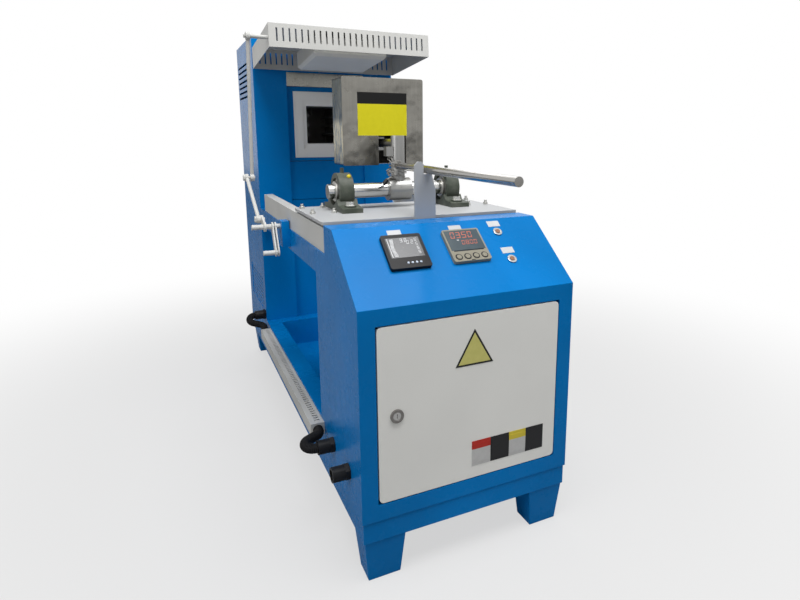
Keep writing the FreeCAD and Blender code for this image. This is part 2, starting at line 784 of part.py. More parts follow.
pad(triangle, "triangle_pad", "y", [
    ("-triangle_left", "triangle_low_z"), ("triangle_right", "triangle_low_z"),
    ("triangle_apex_x", "triangle_top_z")], "-plate_thin", "plate_thin")
keep(triangle, "triangle_plate")
strip = box("strip_base", "-strip_left", "-plate_thin", "strip_low_z",
            "strip_left + strip_right", "plate_thin", "strip_high_z - strip_low_z")
fields = []
for i in range(4):
    fields.append(box("strip_field_%d" % i, "-strip_left + 6 + %d * strip_pitch" % i,
                      "-2 * plate_thin", "strip_low_z + (strip_high_z - strip_low_z) / 2"
                      " - strip_field_high / 2", "strip_field_wide", "plate_thin", "strip_field_high"))
keep(fuse("label_strip", strip, *fields), "label_strip")

# Slanted panel: two instruments with sprung keys, two push buttons, four blank labels
for name, left, down, key_first, key_pitch, key_radius in (
        ("controller", "controller_x", "controller_v", "key_first", "key_pitch", "key_radius"),
        ("meter", "meter_x", "meter_v", "small_key_first", "small_key_pitch", "small_key_radius")):
    low = "-1 * (" + down + " + bezel_wide)"
    face = body(name + "_face", LOCAL)
    front = pad(face, name + "_front", "z", corners(
        left, low, left + " + bezel_wide", low + " + bezel_wide"), "0", "bezel_stand")
    dress(face, "Fillet", name + "_round", front, "bezel_round", lambda edge: along(edge, 2))
    case = box(name + "_case", left + " + (bezel_wide - case_wide) / 2", low + " + (bezel_wide - case_wide) / 2",
               "-case_deep", "case_wide", "case_wide", "case_deep + 1", LOCAL)
    window = box(name + "_window", left + " + screen_inset", low + " + bezel_wide - screen_inset - screen_high",
                 "bezel_stand - screen_sink", "bezel_wide - 2 * screen_inset", "screen_high",
                 "screen_sink + 1", LOCAL)
    places = [left + " + " + key_first + " + %d * " % i + key_pitch for i in range(4)]
    holes = [rod("%s_key_hole_%d" % (name, i), "z", places[i], low + " + key_up", "bezel_stand - key_sink",
                 key_radius + " + key_hole_gap", "key_sink + 1", LOCAL) for i in range(4)]
    frame = cut(name + "_frame", fuse(name + "_all", face, case), window, *holes)
    keep(on_slope(frame), name + "_housing")
    glass = box(name + "_glass", left + " + screen_inset + 0.3",
                low + " + bezel_wide - screen_inset - screen_high + 0.3", "bezel_stand - screen_sink",
                "bezel_wide - 2 * screen_inset - 0.6", "screen_high - 0.6", "screen_sink - 0.6", LOCAL)
    keep(on_slope(glass), name + "_screen")
    for i in range(4):
        key = rod("%s_key_rod_%d" % (name, i + 1), "z", places[i], low + " + key_up",
                  "bezel_stand - key_sink + 1.2", key_radius, "key_sink - 1.2 + key_stand", LOCAL)
        keep(on_slope(key), "%s_key_%d" % (name, i + 1))
rings = []
for name, down in (("upper", "button_upper_v"), ("lower", "button_lower_v")):
    flat_ring = rod(name + "_ring", "z", "button_x", "-1 * " + down, "0",
                    "button_ring_radius", "button_ring_stand", LOCAL)
    neck = rod(name + "_neck", "z", "button_x", "-1 * " + down, "-button_body_deep",
               "button_hole_radius", "button_body_deep + 1", LOCAL)
    well = rod(name + "_well", "z", "button_x", "-1 * " + down, "-button_travel - 5",
               "button_cap_radius + fit_gap", "button_ring_stand + button_travel + 6", LOCAL)
    rings.append(cut(name + "_ring_cut", fuse(name + "_ring_all", flat_ring, neck), well))
    cap = rod(name + "_cap", "z", "button_x", "-1 * " + down, "-2",
              "button_cap_radius", "button_cap_stand + 2", LOCAL)
    keep(on_slope(cap), "push_button_" + name)
keep(on_slope(fuse("button_bodies", *rings)), "button_bodies")
labels = []
for i, (left, down) in enumerate((("meter_x + 24", "15"), ("controller_x + 27", "14"),
                                  ("button_x - label_wide / 2", "9"),
                                  ("button_x - label_wide / 2 + 1", "95"))):
    labels.append(box("panel_label_%d" % i, left, "-1 * (" + down + " + label_high)", "0",
                      "label_wide", "label_high", "plate_thin", LOCAL))
keep(on_slope(fuse("panel_labels_all", *labels)), "panel_labels")

# Mounting plate and switchgear inside the console
back = box("mount_sheet", "-plate_half", "plate_y", "plate_low_z",
           "2 * plate_half", "panel_thick", "plate_high_z - plate_low_z")
posts = []
for i, (x, z) in enumerate((("-plate_half + 12", "plate_low_z + 12"), ("plate_half - 12", "plate_low_z + 12"),
                            ("-plate_half + 12", "plate_high_z - 12"), ("plate_half - 12", "plate_high_z - 12"))):
    posts.append(rod("mount_post_%d" % i, "y", x, "plate_y + panel_thick", z, "6",
                     "console_deep - 2 * panel_thick - plate_y"))
keep(fuse("mounting_plate", back, *posts), "mounting_plate")
keep(box("din_rail", "-plate_half + 20", "plate_y - rail_35_deep", "420",
         "2 * plate_half - 40", "rail_35_deep", "rail_35_high"), "din_rail")
gear = []
for i, (x, wide, deep, high) in enumerate((("-170", "54", "62", "82"), ("-108", "18", "60", "78"),
                                           ("-60", "46", "72", "76"), ("0", "46", "72", "76"),
                                           ("60", "110", "42", "44"))):
    gear.append(box("gear_%d" % i, x, "plate_y - rail_35_deep - " + deep, "437.5 - " + high + " / 2",
                    wide, deep, high))
    gear.append(box("gear_nose_%d" % i, x + " + 4", "plate_y - rail_35_deep - " + deep + " - 8",
                    "437.5 - " + high + " / 5", wide + " - 8", "9", high + " / 2.5"))
keep(fuse("switchgear", *gear), "switchgear")
regulator = box("regulator_case", "-150", "plate_y - 90", "240", "120", "90", "110")
sinks = [box("regulator_fin_%d" % i, "%d" % (-146 + 14 * i), "plate_y - 112", "245", "4", "23", "100")
         for i in range(9)]
keep(fuse("power_regulator", regulator, *sinks), "power_regulator")

# Carriage rails on the side frames: channels open inwards with closed ends
for word in ("left", "right"):
    web = ("-rail_outer_x", "-rail_outer_x + sheet_thick")
    lip = ("-rail_outer_x + sheet_thick", "-rail_inner_x")
    if word == "right":
        web = ("rail_outer_x - sheet_thick", "rail_outer_x")
        lip = ("rail_inner_x", "rail_outer_x - sheet_thick")
    run = ("rail_front_y", "rail_rear_y")
    rail_top = "frame_top_z + rail_high"
    tall = ("frame_top_z + sheet_thick", rail_top + " - sheet_thick")
    keep(group(
        "rail_set_" + word, slab("rail_web_" + word, web, run, ("frame_top_z", rail_top)),
        slab("rail_foot_" + word, lip, run, ("frame_top_z", "frame_top_z + sheet_thick")),
        slab("rail_cap_" + word, lip, run, (rail_top + " - sheet_thick", rail_top)),
        slab("rail_front_" + word, lip, ("rail_front_y", "rail_front_y + sheet_thick"), tall),
        slab("rail_rear_" + word, lip, ("rail_rear_y - sheet_thick", "rail_rear_y"), tall)), "rail_" + word)

# Carriage plate with cheeks, axles and four rollers
roller_z = "frame_top_z + sheet_thick + roller_radius + roller_lift"
sheet = body("plate_body")
flat = pad(sheet, "plate_pad", "z", corners("-" + half, "plate_front_y", half, "plate_rear_y"),
           "plate_z", "plate_thick")
dress(sheet, "Fillet", "plate_corners", flat, "plate_thick / 2", lambda edge: along(edge, 2))
keep(sheet, "carriage_plate")
cheeks = []
axles = []
for word, side in (("left", "-1"), ("right", "1")):
    for end, place in (("front", "roller_front_y"), ("rear", "roller_rear_y")):
        tag = word + "_" + end
        low_x = "-1 * (cheek_x + cheek_thick)" if word == "left" else "cheek_x"
        cheek = box("cheek_block_" + tag, low_x, place + " - cheek_wide / 2", roller_z + " - 14",
                    "cheek_thick", "cheek_wide", "plate_z - (" + roller_z + ") + 14")
        foot_x = "-1 * (cheek_x + cheek_thick)" if word == "left" else "cheek_x - 14"
        foot = box("cheek_foot_" + tag, foot_x, place + " - cheek_wide / 2", "plate_z - 5",
                   "cheek_thick + 14", "cheek_wide", "5")
        hole = rod("cheek_hole_" + tag, "x", low_x + " - 10", place, roller_z,
                   "roller_axle_radius", "40")
        cheeks.append(cut("cheek_" + tag, fuse("cheek_all_" + tag, cheek, foot), hole))
        axle_x = "-1 * (roller_x + roller_wide + 2)" if word == "left" else "cheek_x - 3"
        axles.append(rod("axle_" + tag, "x", axle_x, place, roller_z, "roller_axle_radius",
                         "roller_x + roller_wide + 5 - cheek_x"))
        wheel_x = "-1 * (roller_x + roller_wide)" if word == "left" else "roller_x"
        wheel = rod("wheel_" + tag, "x", wheel_x, place, roller_z, "roller_radius", "roller_wide")
        bore = rod("wheel_bore_" + tag, "x", wheel_x + " - 1", place, roller_z,
                   "roller_axle_radius + fit_gap", "roller_wide + 2")
        dimples = [rod("wheel_dimple_%s_%d" % (tag, i), "x", wheel_x + " - 1", place + " + (%s)" % dy,
                       roller_z + " + (%s)" % dz, "3.5", "4")
                   for i, (dy, dz) in enumerate((("14", "0"), ("-14", "0"), ("0", "14"), ("0", "-14")))]
        keep(cut("roller_cut_" + tag, wheel, bore, *dimples), "roller_" + tag)
keep(fuse("roller_cheeks", *cheeks), "roller_cheeks")
keep(fuse("roller_axles", *axles), "roller_axles")

# Pillow blocks with inserts and bolts
seat_z = "plate_z + plate_thick"
blocks = []
inserts = []
nipples = []
bolts = []
for word, side in (("left", "-1"), ("right", "1")):
    mid = side + " * block_x"
    foot = body("block_foot_" + word)
    pad(foot, "block_foot_pad_" + word, "x", [
        ("shaft_y - block_base_long / 2", seat_z), ("shaft_y + block_base_long / 2", seat_z),
        ("shaft_y + block_base_long / 2", seat_z + " + block_base_high * 0.7"),
        ("shaft_y + block_slope_half - 18", seat_z + " + block_base_high"),
        ("shaft_y + 40", "shaft_z - 18"), ("shaft_y - 40", "shaft_z - 18"),
        ("shaft_y - block_slope_half + 18", seat_z + " + block_base_high"),
        ("shaft_y - block_base_long / 2", seat_z + " + block_base_high * 0.7")],
        mid + " - block_base_wide / 2", "block_base_wide")
    boss = rod("block_boss_" + word, "x", mid + " - block_boss_wide / 2", "shaft_y", "shaft_z",
               "block_boss_radius", "block_boss_wide")
    hole = rod("block_hole_" + word, "x", mid + " - 50", "shaft_y", "shaft_z",
               "insert_radius + fit_gap", "100")
    tools = [hole]
    for i, dy in enumerate(("-block_bolt_pitch / 2", "block_bolt_pitch / 2")):
        tools.append(rod("block_bolt_hole_%s_%d" % (word, i), "z", mid, "shaft_y + " + dy, seat_z + " - 5",
                         "bolt_radius + 1", "40"))
        seat = seat_z + " + block_base_high"
        head = doc.addObject("Part::Prism", "block_bolt_head_%s_%d" % (word, i))
        head.Polygon = 6
        bind(head, "Circumradius", "bolt_head_half / cos(30)")
        bind(head, "Height", "bolt_head_high")
        put(head, mid, "shaft_y + " + dy, seat + " + washer_thick")
        washer = rod("block_washer_%s_%d" % (word, i), "z", mid, "shaft_y + " + dy, seat,
                     "washer_radius", "washer_thick")
        shank = rod("block_shank_%s_%d" % (word, i), "z", mid, "shaft_y + " + dy, seat_z + " + part_gap",
                    "bolt_radius", "block_base_high")
        pocket_top = rod("block_spot_%s_%d" % (word, i), "z", mid, "shaft_y + " + dy, seat,
                         "washer_radius + 1", "30")
        pad_boss = rod("block_pad_%s_%d" % (word, i), "z", mid, "shaft_y + " + dy, seat_z,
                       "washer_radius + 2", "block_base_high")
        tools.append(pocket_top)
        blocks.append(pad_boss)
        bolts.append(fuse("block_bolt_%s_%d" % (word, i), head, washer, shank))
    pads = blocks[-2:]
    blocks = blocks[:-2]
    blocks.append(cut("block_cut_" + word, fuse("block_all_" + word, foot, boss, *pads), *tools))
    ring = rod("insert_ring_" + word, "x", mid + " - insert_wide / 2", "shaft_y", "shaft_z",
               "insert_radius - 9", "insert_wide")
    ring_wide = rod("insert_wide_" + word, "x", mid + " - block_boss_wide / 2 + 6", "shaft_y", "shaft_z",
                    "insert_radius", "block_boss_wide - 12")
    ring_bore = rod("insert_bore_" + word, "x", mid + " - 50", "shaft_y", "shaft_z",
                    "shaft_radius + fit_gap", "100")
    inserts.append(cut("insert_cut_" + word, fuse("insert_all_" + word, ring, ring_wide), ring_bore))
    nipples.append(rod("nipple_" + word, "z", mid, "shaft_y", "shaft_z + block_boss_radius - 1",
                       "nipple_radius", "nipple_high"))
blocks_all = fuse("pillow_blocks_all", *blocks)
nipple_bores = [rod("nipple_bore_%d" % i, "z", side + " * block_x", "shaft_y",
                    "shaft_z + block_boss_radius - 1", "nipple_radius", "10")
                for i, side in enumerate(("-1", "1"))]
keep(cut("pillow_blocks", blocks_all, *nipple_bores), "pillow_blocks")
keep(fuse("bearing_inserts", *inserts), "bearing_inserts")
keep(fuse("grease_caps", *nipples), "grease_caps")
keep(fuse("block_bolts", *bolts), "block_bolts")
edge_bolts = []
for i, x in enumerate(("-edge_bolt_x", "edge_bolt_x", "-inner_bolt_x", "inner_bolt_x")):
    for j, y in enumerate(("edge_bolt_front_y", "edge_bolt_rear_y")):
        nut = doc.addObject("Part::Prism", "edge_nut_%d%d" % (i, j))
        nut.Polygon = 6
        bind(nut, "Circumradius", "nut_half / cos(30)")
        bind(nut, "Height", "nut_high")
        put(nut, x, y, seat_z)
        edge_bolts.append(fuse("edge_bolt_%d%d" % (i, j), nut, rod(
            "edge_stud_%d%d" % (i, j), "z", x, y, seat_z, "stud_radius", "stud_high")))
keep(fuse("plate_bolts", *edge_bolts), "plate_bolts")

# Rod rest on the front edge of the carriage plate
rest = body("rest_body")
pad(rest, "rest_pad", "y", [
    ("-rest_left", "plate_z"), ("rest_right", "plate_z"), ("rest_right", "plate_z + 70"),
    ("rod_radius + 2", "rod_z - rod_radius - rod_seat_gap"),
    ("-rod_radius - rod_seat_gap", "rod_z - rod_radius - rod_seat_gap"),
    ("-rod_radius - rod_seat_gap", "rest_top_z - 6"),
    ("-rod_radius - 7", "rest_top_z"), ("-rest_left + 8", "rest_top_z"),
    ("-rest_left", "rest_top_z - 9")], "plate_front_y - rest_thick", "rest_thick")
keep(rest, "rod_rest")

# Shaft, arm tube with hub and spine, handle rod
keep(rod("tilt_shaft", "x", "-shaft_left", "shaft_y", "shaft_z", "shaft_radius",
         "shaft_left + shaft_right"), "tilt_shaft")
tube = rod("arm_tube", "z", "arm_x", "shaft_y", "shaft_z", "arm_radius", "arm_top_z - shaft_z")
hub = rod("arm_hub", "x", "arm_x - hub_wide / 2", "shaft_y", "shaft_z", "hub_radius", "hub_wide")
spine = rod("arm_spine", "y", "arm_x", "shaft_y", "spine_z", "spine_radius", "slot_rear_y - shaft_y")
flange_plate = box("arm_flange", "arm_x - 22", "slot_rear_y - 6", "spine_z - 22", "44", "6", "40")
arm_bore = rod("arm_bore", "x", "arm_x - hub_wide", "shaft_y", "shaft_z", "shaft_radius + fit_gap",
               "2 * hub_wide")
rod_hole = rod("arm_rod_hole", "y", "0", "shaft_y - 60", "rod_z", "rod_radius + fit_gap", "60 - 2")
keep(cut("tilt_arm", fuse("arm_all", tube, hub, spine, flange_plate), arm_bore, rod_hole), "tilt_arm")
keep(rod("handle_rod", "y", "0", "-handle_reach", "rod_z", "rod_radius",
         "shaft_y + handle_reach - 2 - part_gap"), "handle_rod")

# Steel box with slot, insulation and sample holder
case = body("box_case")
case_pad = pad(case, "box_pad", "y", corners("-box_half", "box_low_z", "box_half", "box_high_z"),
               "box_front_y", "box_rear_y - box_front_y")
case_round = dress(case, "Fillet", "box_edges", case_pad, "box_round", lambda edge: along(edge, 1))
hollow = box("box_hollow", "-box_half + box_sheet", "box_front_y + box_sheet", "box_low_z + box_sheet",
             "2 * (box_half - box_sheet)", "box_rear_y - box_front_y - 2 * box_sheet",
             "box_high_z - box_low_z - 2 * box_sheet")
slot_cut = box("box_slot", "-slot_left", "box_front_y - 1", "box_low_z - 1",
               "slot_left + slot_right", "box_sheet + 2", "slot_top_z - box_low_z + 1")
slot_low = box("box_slot_low", "-slot_left", "box_front_y - 1", "box_low_z - 1",
               "slot_left + slot_right", "slot_rear_y - box_front_y + 1", "box_sheet + 2")
keep(cut("steel_box", case, hollow, slot_cut, slot_low), "steel_box")
wool = box("wool_block", "-box_half + box_sheet + 5", "box_front_y + box_sheet", "box_low_z + box_sheet",
           "2 * (box_half - box_sheet - 5)", "box_rear_y - box_front_y - 2 * box_sheet",
           "box_high_z - box_low_z - 2 * box_sheet")
wool_slot = box("wool_slot", "-slot_left", "box_front_y - 1", "box_low_z - 1",
                "slot_left + slot_right", "slot_rear_y - box_front_y + 1", "slot_top_z - box_low_z + 1")
keep(cut("box_insulation", wool, wool_slot), "box_insulation")
blank = box("caution_base", "-caution_left", "box_front_y - plate_thin", "caution_low_z",
            "caution_left + caution_right", "plate_thin", "caution_high_z - caution_low_z")
keep(blank, "caution_plate")
shelf = box("holder_shelf", "-holder_half", "box_rear_y", "holder_low_z",
            "2 * holder_half", "holder_reach", "holder_thick")
wall = box("holder_wall", "-holder_half", "box_rear_y", "holder_low_z",
           "2 * holder_half", "holder_thick", "90")
grooves = [box("holder_groove_%d" % i, "%d" % (-38 + 16 * i), "box_rear_y + holder_thick + 8",
               "holder_low_z + holder_thick - 3", "6", "holder_reach", "6") for i in range(6)]
keep(cut("sample_holder", fuse("holder_all", shelf, wall), *grooves), "sample_holder")

# Connector and lead of the sample probe
block = box("connector_block", "arm_x - arm_radius - 18", "shaft_y - 11", "906", "20", "22", "26")
saddle = rod("connector_saddle", "z", "arm_x", "shaft_y", "880", "arm_radius", "80")
keep(cut("lead_connector", block, saddle), "lead_connector")

# Furnace cabinet shell with recess, louvres and mesh window
rear_hole = rod("rear_gland_hole", "x", "-" + half + " - 5", "rear_gland_y", "rear_gland_z",
                "gland_radius - 5", "10")
walls = []
for word, start in (("left", "-" + half), ("right", half + " - panel_thick")):
    wall = body("cabinet_side_" + word)
    pad(wall, "cabinet_sheet_" + word, "x", corners(
        "cabinet_front_y", base_top, "total_depth", "cabinet_top_z"), start, "panel_thick")
    louvre = pocket(wall, "louvre_" + word, "x", corners(
        "louvre_front_y", "louvre_first_z", "louvre_front_y + louvre_long", "louvre_first_z + louvre_high"),
        start, "4 * panel_thick")
    repeat(wall, "louvre_rows_" + word, louvre, "V_Axis", "(louvre_count - 1) * louvre_pitch", "louvre_count")
    pocket(wall, "mesh_window_" + word, "x", corners(
        "mesh_front_y", "mesh_low_z", "mesh_rear_y", "mesh_high_z"), start, "4 * panel_thick")
    walls.append(wall)
across = ("-1 * " + inside, inside)
front_run = ("cabinet_front_y", "cabinet_front_y + panel_thick")
keep(group(
    "cabinet_set", cut("left_cabinet_sheet", walls[0], rear_hole), walls[1],
    slab("cabinet_top", across, ("cabinet_front_y", "total_depth"),
         ("cabinet_top_z - panel_thick", "cabinet_top_z")),
    slab("cabinet_floor", across, ("cabinet_front_y", "total_depth"),
         (base_top, base_top + " + panel_thick")),
    slab("cabinet_rear", across, ("total_depth - panel_thick", "total_depth"),
          (base_top + " + panel_thick", "cabinet_top_z - panel_thick")),
    slab("column_left", ("-1 * " + inside, "-recess_half"), front_run,
          (base_top + " + panel_thick", "cabinet_top_z - panel_thick")),
    slab("column_right", ("recess_half", inside), front_run,
          (base_top + " + panel_thick", "cabinet_top_z - panel_thick")),
    slab("cabinet_apron", ("-recess_half", "recess_half"), front_run,
         (base_top + " + panel_thick", sill_top)),
    slab("cabinet_header", ("-recess_half", "recess_half"), front_run,
          ("band_high_z", "cabinet_top_z - panel_thick"))), "cabinet_shell")
for word in ("left", "right"):
    start = "-" + half + " + panel_thick" if word == "left" else half + " - panel_thick - 1.5"
    mesh = body("mesh_body_" + word)
    pad(mesh, "mesh_pad_" + word, "x", corners(
        "mesh_front_y - 6", "mesh_low_z - 6", "mesh_rear_y + 6", "mesh_high_z + 6"), start, "1.5")
    first_y = "(mesh_front_y + mesh_margin + mesh_diamond)"
    first_z = "(mesh_low_z + mesh_margin + mesh_diamond_high)"
    diamond = pocket(mesh, "mesh_diamond_" + word, "x", [
        (first_y + " - mesh_diamond", first_z), (first_y, first_z + " - mesh_diamond_high"),
        (first_y + " + mesh_diamond", first_z), (first_y, first_z + " + mesh_diamond_high")],
        start + " + 0.75", "6")
    many = mesh.newObject("PartDesign::MultiTransform", "mesh_many_" + word)
    many.Originals = [diamond]
    rows = []
    for line, span, count in (("H_Axis", "12 * mesh_pitch_y", 13), ("V_Axis", "7 * mesh_pitch_z", 8)):
        row = doc.addObject("PartDesign::LinearPattern", "mesh_row_" + line + "_" + word)
        mesh.addObject(row)
        row.Direction = (diamond.Profile[0], [line])
        bind(row, "Length", span)
        row.Occurrences = count
        rows.append(row)
    many.Transformations = rows
    mesh.Tip = many
    keep(mesh, "vent_mesh_" + word)

# Recessed front panels, stainless band, mouth frame
mouth_clear = "(mouth_half + part_gap)"
flat = ("recess_panel_y", "recess_panel_y + panel_thick")
wide = ("-recess_half", "recess_half")
panels = [
    slab("front_panel_low", wide, flat, (sill_top, "lower_seam_z - seam_gap / 2")),
    slab("front_panel_mid", wide, flat, ("lower_seam_z + seam_gap / 2", "upper_seam_z - seam_gap / 2")),
    slab("front_panel_under", wide, flat, ("upper_seam_z + seam_gap / 2", "mouth_z - " + mouth_clear)),
    slab("front_panel_left", ("-recess_half", "-1 * " + mouth_clear), flat,
          ("mouth_z - " + mouth_clear, "mouth_z + " + mouth_clear)),
    slab("front_panel_right", (mouth_clear, "recess_half"), flat,
          ("mouth_z - " + mouth_clear, "mouth_z + " + mouth_clear)),
    slab("front_panel_over", wide, flat, ("mouth_z + " + mouth_clear, "band_low_z"))]
reach = ("cabinet_front_y + panel_thick", "recess_panel_y + panel_thick")
for word in ("left", "right"):
    start = "-recess_half - panel_thick" if word == "left" else "recess_half"
    panels.append(slab("recess_return_" + word, (start, start + " + panel_thick"), reach,
                       (sill_top, "band_low_z")))
panels.append(slab("recess_floor", ("-recess_half - panel_thick", "recess_half + panel_thick"), reach,
                    (sill_top + " - panel_thick", sill_top)))
keep(group("front_panels_set", *panels), "front_panels")
keep(box("steel_band", "-recess_half", "cabinet_front_y", "band_low_z",
         "2 * recess_half", "recess_panel_y - cabinet_front_y + panel_thick", "band_high_z - band_low_z"),
     "steel_band")
mouth = body("mouth_body")
mouth_pad = pad(mouth, "mouth_pad", "y", corners(
    "-mouth_half", "mouth_z - mouth_half", "mouth_half", "mouth_z + mouth_half"), "mouth_face_y", "mouth_deep")
mouth_cut = pocket(mouth, "mouth_hole", "y", corners(
    "-mouth_hole_half_wide", "mouth_z - mouth_hole_half_high",
    "mouth_hole_half_wide", "mouth_z + mouth_hole_half_high"), "mouth_face_y", "4 * mouth_deep")
mouth_front = value(MACHINE[1] + " + mouth_face_y")
dress(mouth, "Chamfer", "mouth_edges", mouth_cut, "mouth_bevel",
      lambda edge: not along(edge, 1) and abs(edge.CenterOfMass.y - mouth_front + value(MACHINE[1])) < 0.1
      and abs(edge.CenterOfMass.x) < value("mouth_hole_half_wide") + 1
      and abs(edge.CenterOfMass.z - value("mouth_z")) < value("mouth_hole_half_high") + 1)
keep(mouth, "mouth_frame")

# Chamber lining, heating rods, probe, shelf and power unit
lining_front = "(mouth_face_y + mouth_deep)"
brick = box("lining_block", "-lining_half", lining_front, "lining_low_z",
            "2 * lining_half", "lining_rear_y - " + lining_front, "lining_high_z - lining_low_z")
chamber = box("lining_chamber", "-mouth_hole_half_wide", lining_front + " - 1", "mouth_z - mouth_hole_half_high",
              "2 * mouth_hole_half_wide", "chamber_rear_y - " + lining_front + " + 1",
              "2 * mouth_hole_half_high")
probe_hole = rod("lining_probe_hole", "z", "0", "probe_y", "mouth_z", "probe_radius + fit_gap",
                 "lining_high_z - mouth_z + 5")
keep(cut("chamber_lining", brick, chamber, probe_hole), "chamber_lining")
elements = []
for side in ("-1", "1"):
    for step in ("-1", "0", "1"):
        elements.append(rod("element_%s_%s" % (side.replace("-", "n"), step.replace("-", "n")), "y",
                            side + " * element_x", lining_front + " + 20", "mouth_z + " + step +
                            " * element_pitch", "element_radius", "chamber_rear_y - " + lining_front + " - 20"))
keep(fuse("heating_rods", *elements), "heating_rods")
sheath = rod("probe_sheath", "z", "0", "probe_y", "probe_low_z", "probe_radius",
             "lining_high_z - probe_low_z + 6")
head = rod("probe_head", "z", "0", "probe_y", "lining_high_z + 1", "18", "30")
keep(fuse("chamber_probe", sheath, head), "chamber_probe")
keep(box("lining_shelf", "-" + half + " + panel_thick", lining_front, "lining_low_z - 6",
         "body_width - 2 * panel_thick", "total_depth - panel_thick - " + lining_front, "6"), "lining_shelf")
unit = box("power_block", "-120", "1300", base_top + " + panel_thick", "240", "180", "180")
coils = [rod("power_coil_%d" % i, "z", "%d" % (-75 + 75 * i), "1390", base_top + " + panel_thick + 179",
             "32", "60") for i in range(3)]
keep(fuse("power_unit", unit, *coils), "power_unit")

# Furnace door flap: open tray with slots, plug, hinges and stub pin
tray = body("tray_body", LOCAL)
tray_low = "-1 * flap_rim"
pad(tray, "tray_solid", "y", corners("-" + half, tray_low, half, tray_low + " + flap_high"),
    "-1 * flap_far", "flap_far - flap_near")
pocket(tray, "tray_hollow", "y", corners(
    "-" + half + " + flap_sheet", tray_low + " - 10", half + " - flap_sheet",
    tray_low + " + flap_high - flap_sheet"),
    "-1 * (flap_far + flap_near) / 2", "flap_far - flap_near - 2 * flap_sheet")
flap_slot = pocket(tray, "tray_slot", "y", corners(
    "-1 * flap_slot_span / 2 - flap_slot_wide / 2", tray_low + " + flap_slot_up",
    "-1 * flap_slot_span / 2 + flap_slot_wide / 2", tray_low + " + flap_slot_up + flap_slot_long"),
    "0", "3 * flap_far")
repeat(tray, "tray_slots", flap_slot, "H_Axis", "flap_slot_span", "flap_slot_count")
keep(on_flap(tray), "flap_tray")
plug = body("plug_body", LOCAL)
plug_pad = pad(plug, "plug_pad", "z", corners(
    "-plug_half", "-1 * plug_centre - plug_half", "plug_half", "-1 * plug_centre + plug_half"),
    tray_low + " - plug_stand", "plug_top + flap_rim + plug_stand")
plug_low = value("-1 * flap_rim - plug_stand")
dress(plug, "Chamfer", "plug_edges", plug_pad, "plug_bevel",
      lambda edge: abs(edge.CenterOfMass.z - plug_low) < 0.1)
keep(on_flap(plug), "flap_plug")
studs = []
for i, (x, y) in enumerate((("-90", "-290"), ("90", "-290"), ("-90", "-110"), ("90", "-110"))):
    studs.append(rod("plug_stud_%d" % i, "z", x, y, "plug_top", "5",
                     "flap_high - flap_rim - flap_sheet - plug_top", LOCAL))
keep(on_flap(fuse("plug_studs_all", *studs)), "plug_studs")
flap_knuckles = []
ears = []
hinge_pins = []
for i in (-1, 0, 1):
    middle = "%d * knuckle_pitch" % i
    tag = str(i + 2)
    tube = rod("flap_knuckle_" + tag, "x", middle + " - knuckle_long / 2", "0", "0",
               "knuckle_radius", "knuckle_long", LOCAL)
    tab = box("flap_tab_" + tag, middle + " - knuckle_long / 2", "-flap_near", "-3",
              "knuckle_long", "flap_near", "6", LOCAL)
    hole = rod("flap_bore_" + tag, "x", middle + " - knuckle_long", "0", "0",
               "hinge_pin_radius + fit_gap", "2 * knuckle_long", LOCAL)
    flap_knuckles.append(cut("flap_knuckle_cut_" + tag, fuse("flap_knuckle_all_" + tag, tube, tab), hole))
    hinge_pins.append(rod("flap_pin_" + tag, "x", middle + " - knuckle_long / 2 - ear_wide - 1", "hinge_y",
                          "hinge_z", "hinge_pin_radius", "knuckle_long + 2 * ear_wide + 2"))
    for word, start in (("a", middle + " - knuckle_long / 2 - ear_wide - part_gap / 2"),
                        ("b", middle + " + knuckle_long / 2 + part_gap / 2")):
        ear = box("ear_block_" + tag + word, start, "hinge_y - 5", "hinge_z - 5",
                  "ear_wide", "cabinet_front_y - hinge_y + 5", "10")
        ear_hole = rod("ear_hole_" + tag + word, "x", start + " - 1", "hinge_y", "hinge_z",
                       "hinge_pin_radius", "ear_wide + 2")
        ears.append(cut("ear_" + tag + word, ear, ear_hole))
keep(on_flap(fuse("flap_knuckles_all", *flap_knuckles)), "flap_knuckles")
keep(fuse("hinge_ears", *ears), "hinge_ears")
keep(fuse("hinge_pins", *hinge_pins), "hinge_pins")
stub = rod("stub_rod", "x", "-link_rod_x - eye_thick", "link_pin_y", "link_pin_z", "link_pin_radius",
           "link_rod_x + eye_thick - " + half)
keep(stub, "link_stub")

# Door linkage: link rod, lower rod, crank with cross shaft, hand lever, lug
link = slant_rod("link_bar", "-link_rod_x", ("link_pin_y", "link_pin_z"), ("elbow_y", "elbow_z"),
                 "link_rod_radius")
link_eyes = [rod("link_eye_top", "x", "-link_rod_x - eye_thick / 2", "link_pin_y", "link_pin_z",
                 "eye_radius", "eye_thick"),
             rod("link_eye_low", "x", "-link_rod_x - eye_thick / 2", "elbow_y", "elbow_z",
                 "eye_radius", "eye_thick")]
link_bores = [rod("link_bore_top", "x", "-link_rod_x - eye_thick", "link_pin_y", "link_pin_z",
                  "link_pin_radius + fit_gap", "2 * eye_thick"),
              rod("link_bore_low", "x", "-link_rod_x - eye_thick", "elbow_y", "elbow_z",
                  "elbow_bolt_radius + fit_gap", "2 * eye_thick")]
keep(cut("link_rod", fuse("link_all", link, *link_eyes), *link_bores), "link_rod")
lower = slant_rod("lower_bar", "-lower_rod_x", ("clamp_y", "clamp_z"), ("elbow_y", "elbow_z"),
                  "link_rod_radius")
lower_eyes = [rod("lower_eye_top", "x", "-lower_rod_x - eye_thick / 2", "elbow_y", "elbow_z",
                  "eye_radius", "eye_thick - part_gap - 1.5"),
              rod("lower_eye_low", "x", "-lower_rod_x - eye_thick / 2", "clamp_y", "clamp_z",
                  "eye_radius", "eye_thick")]
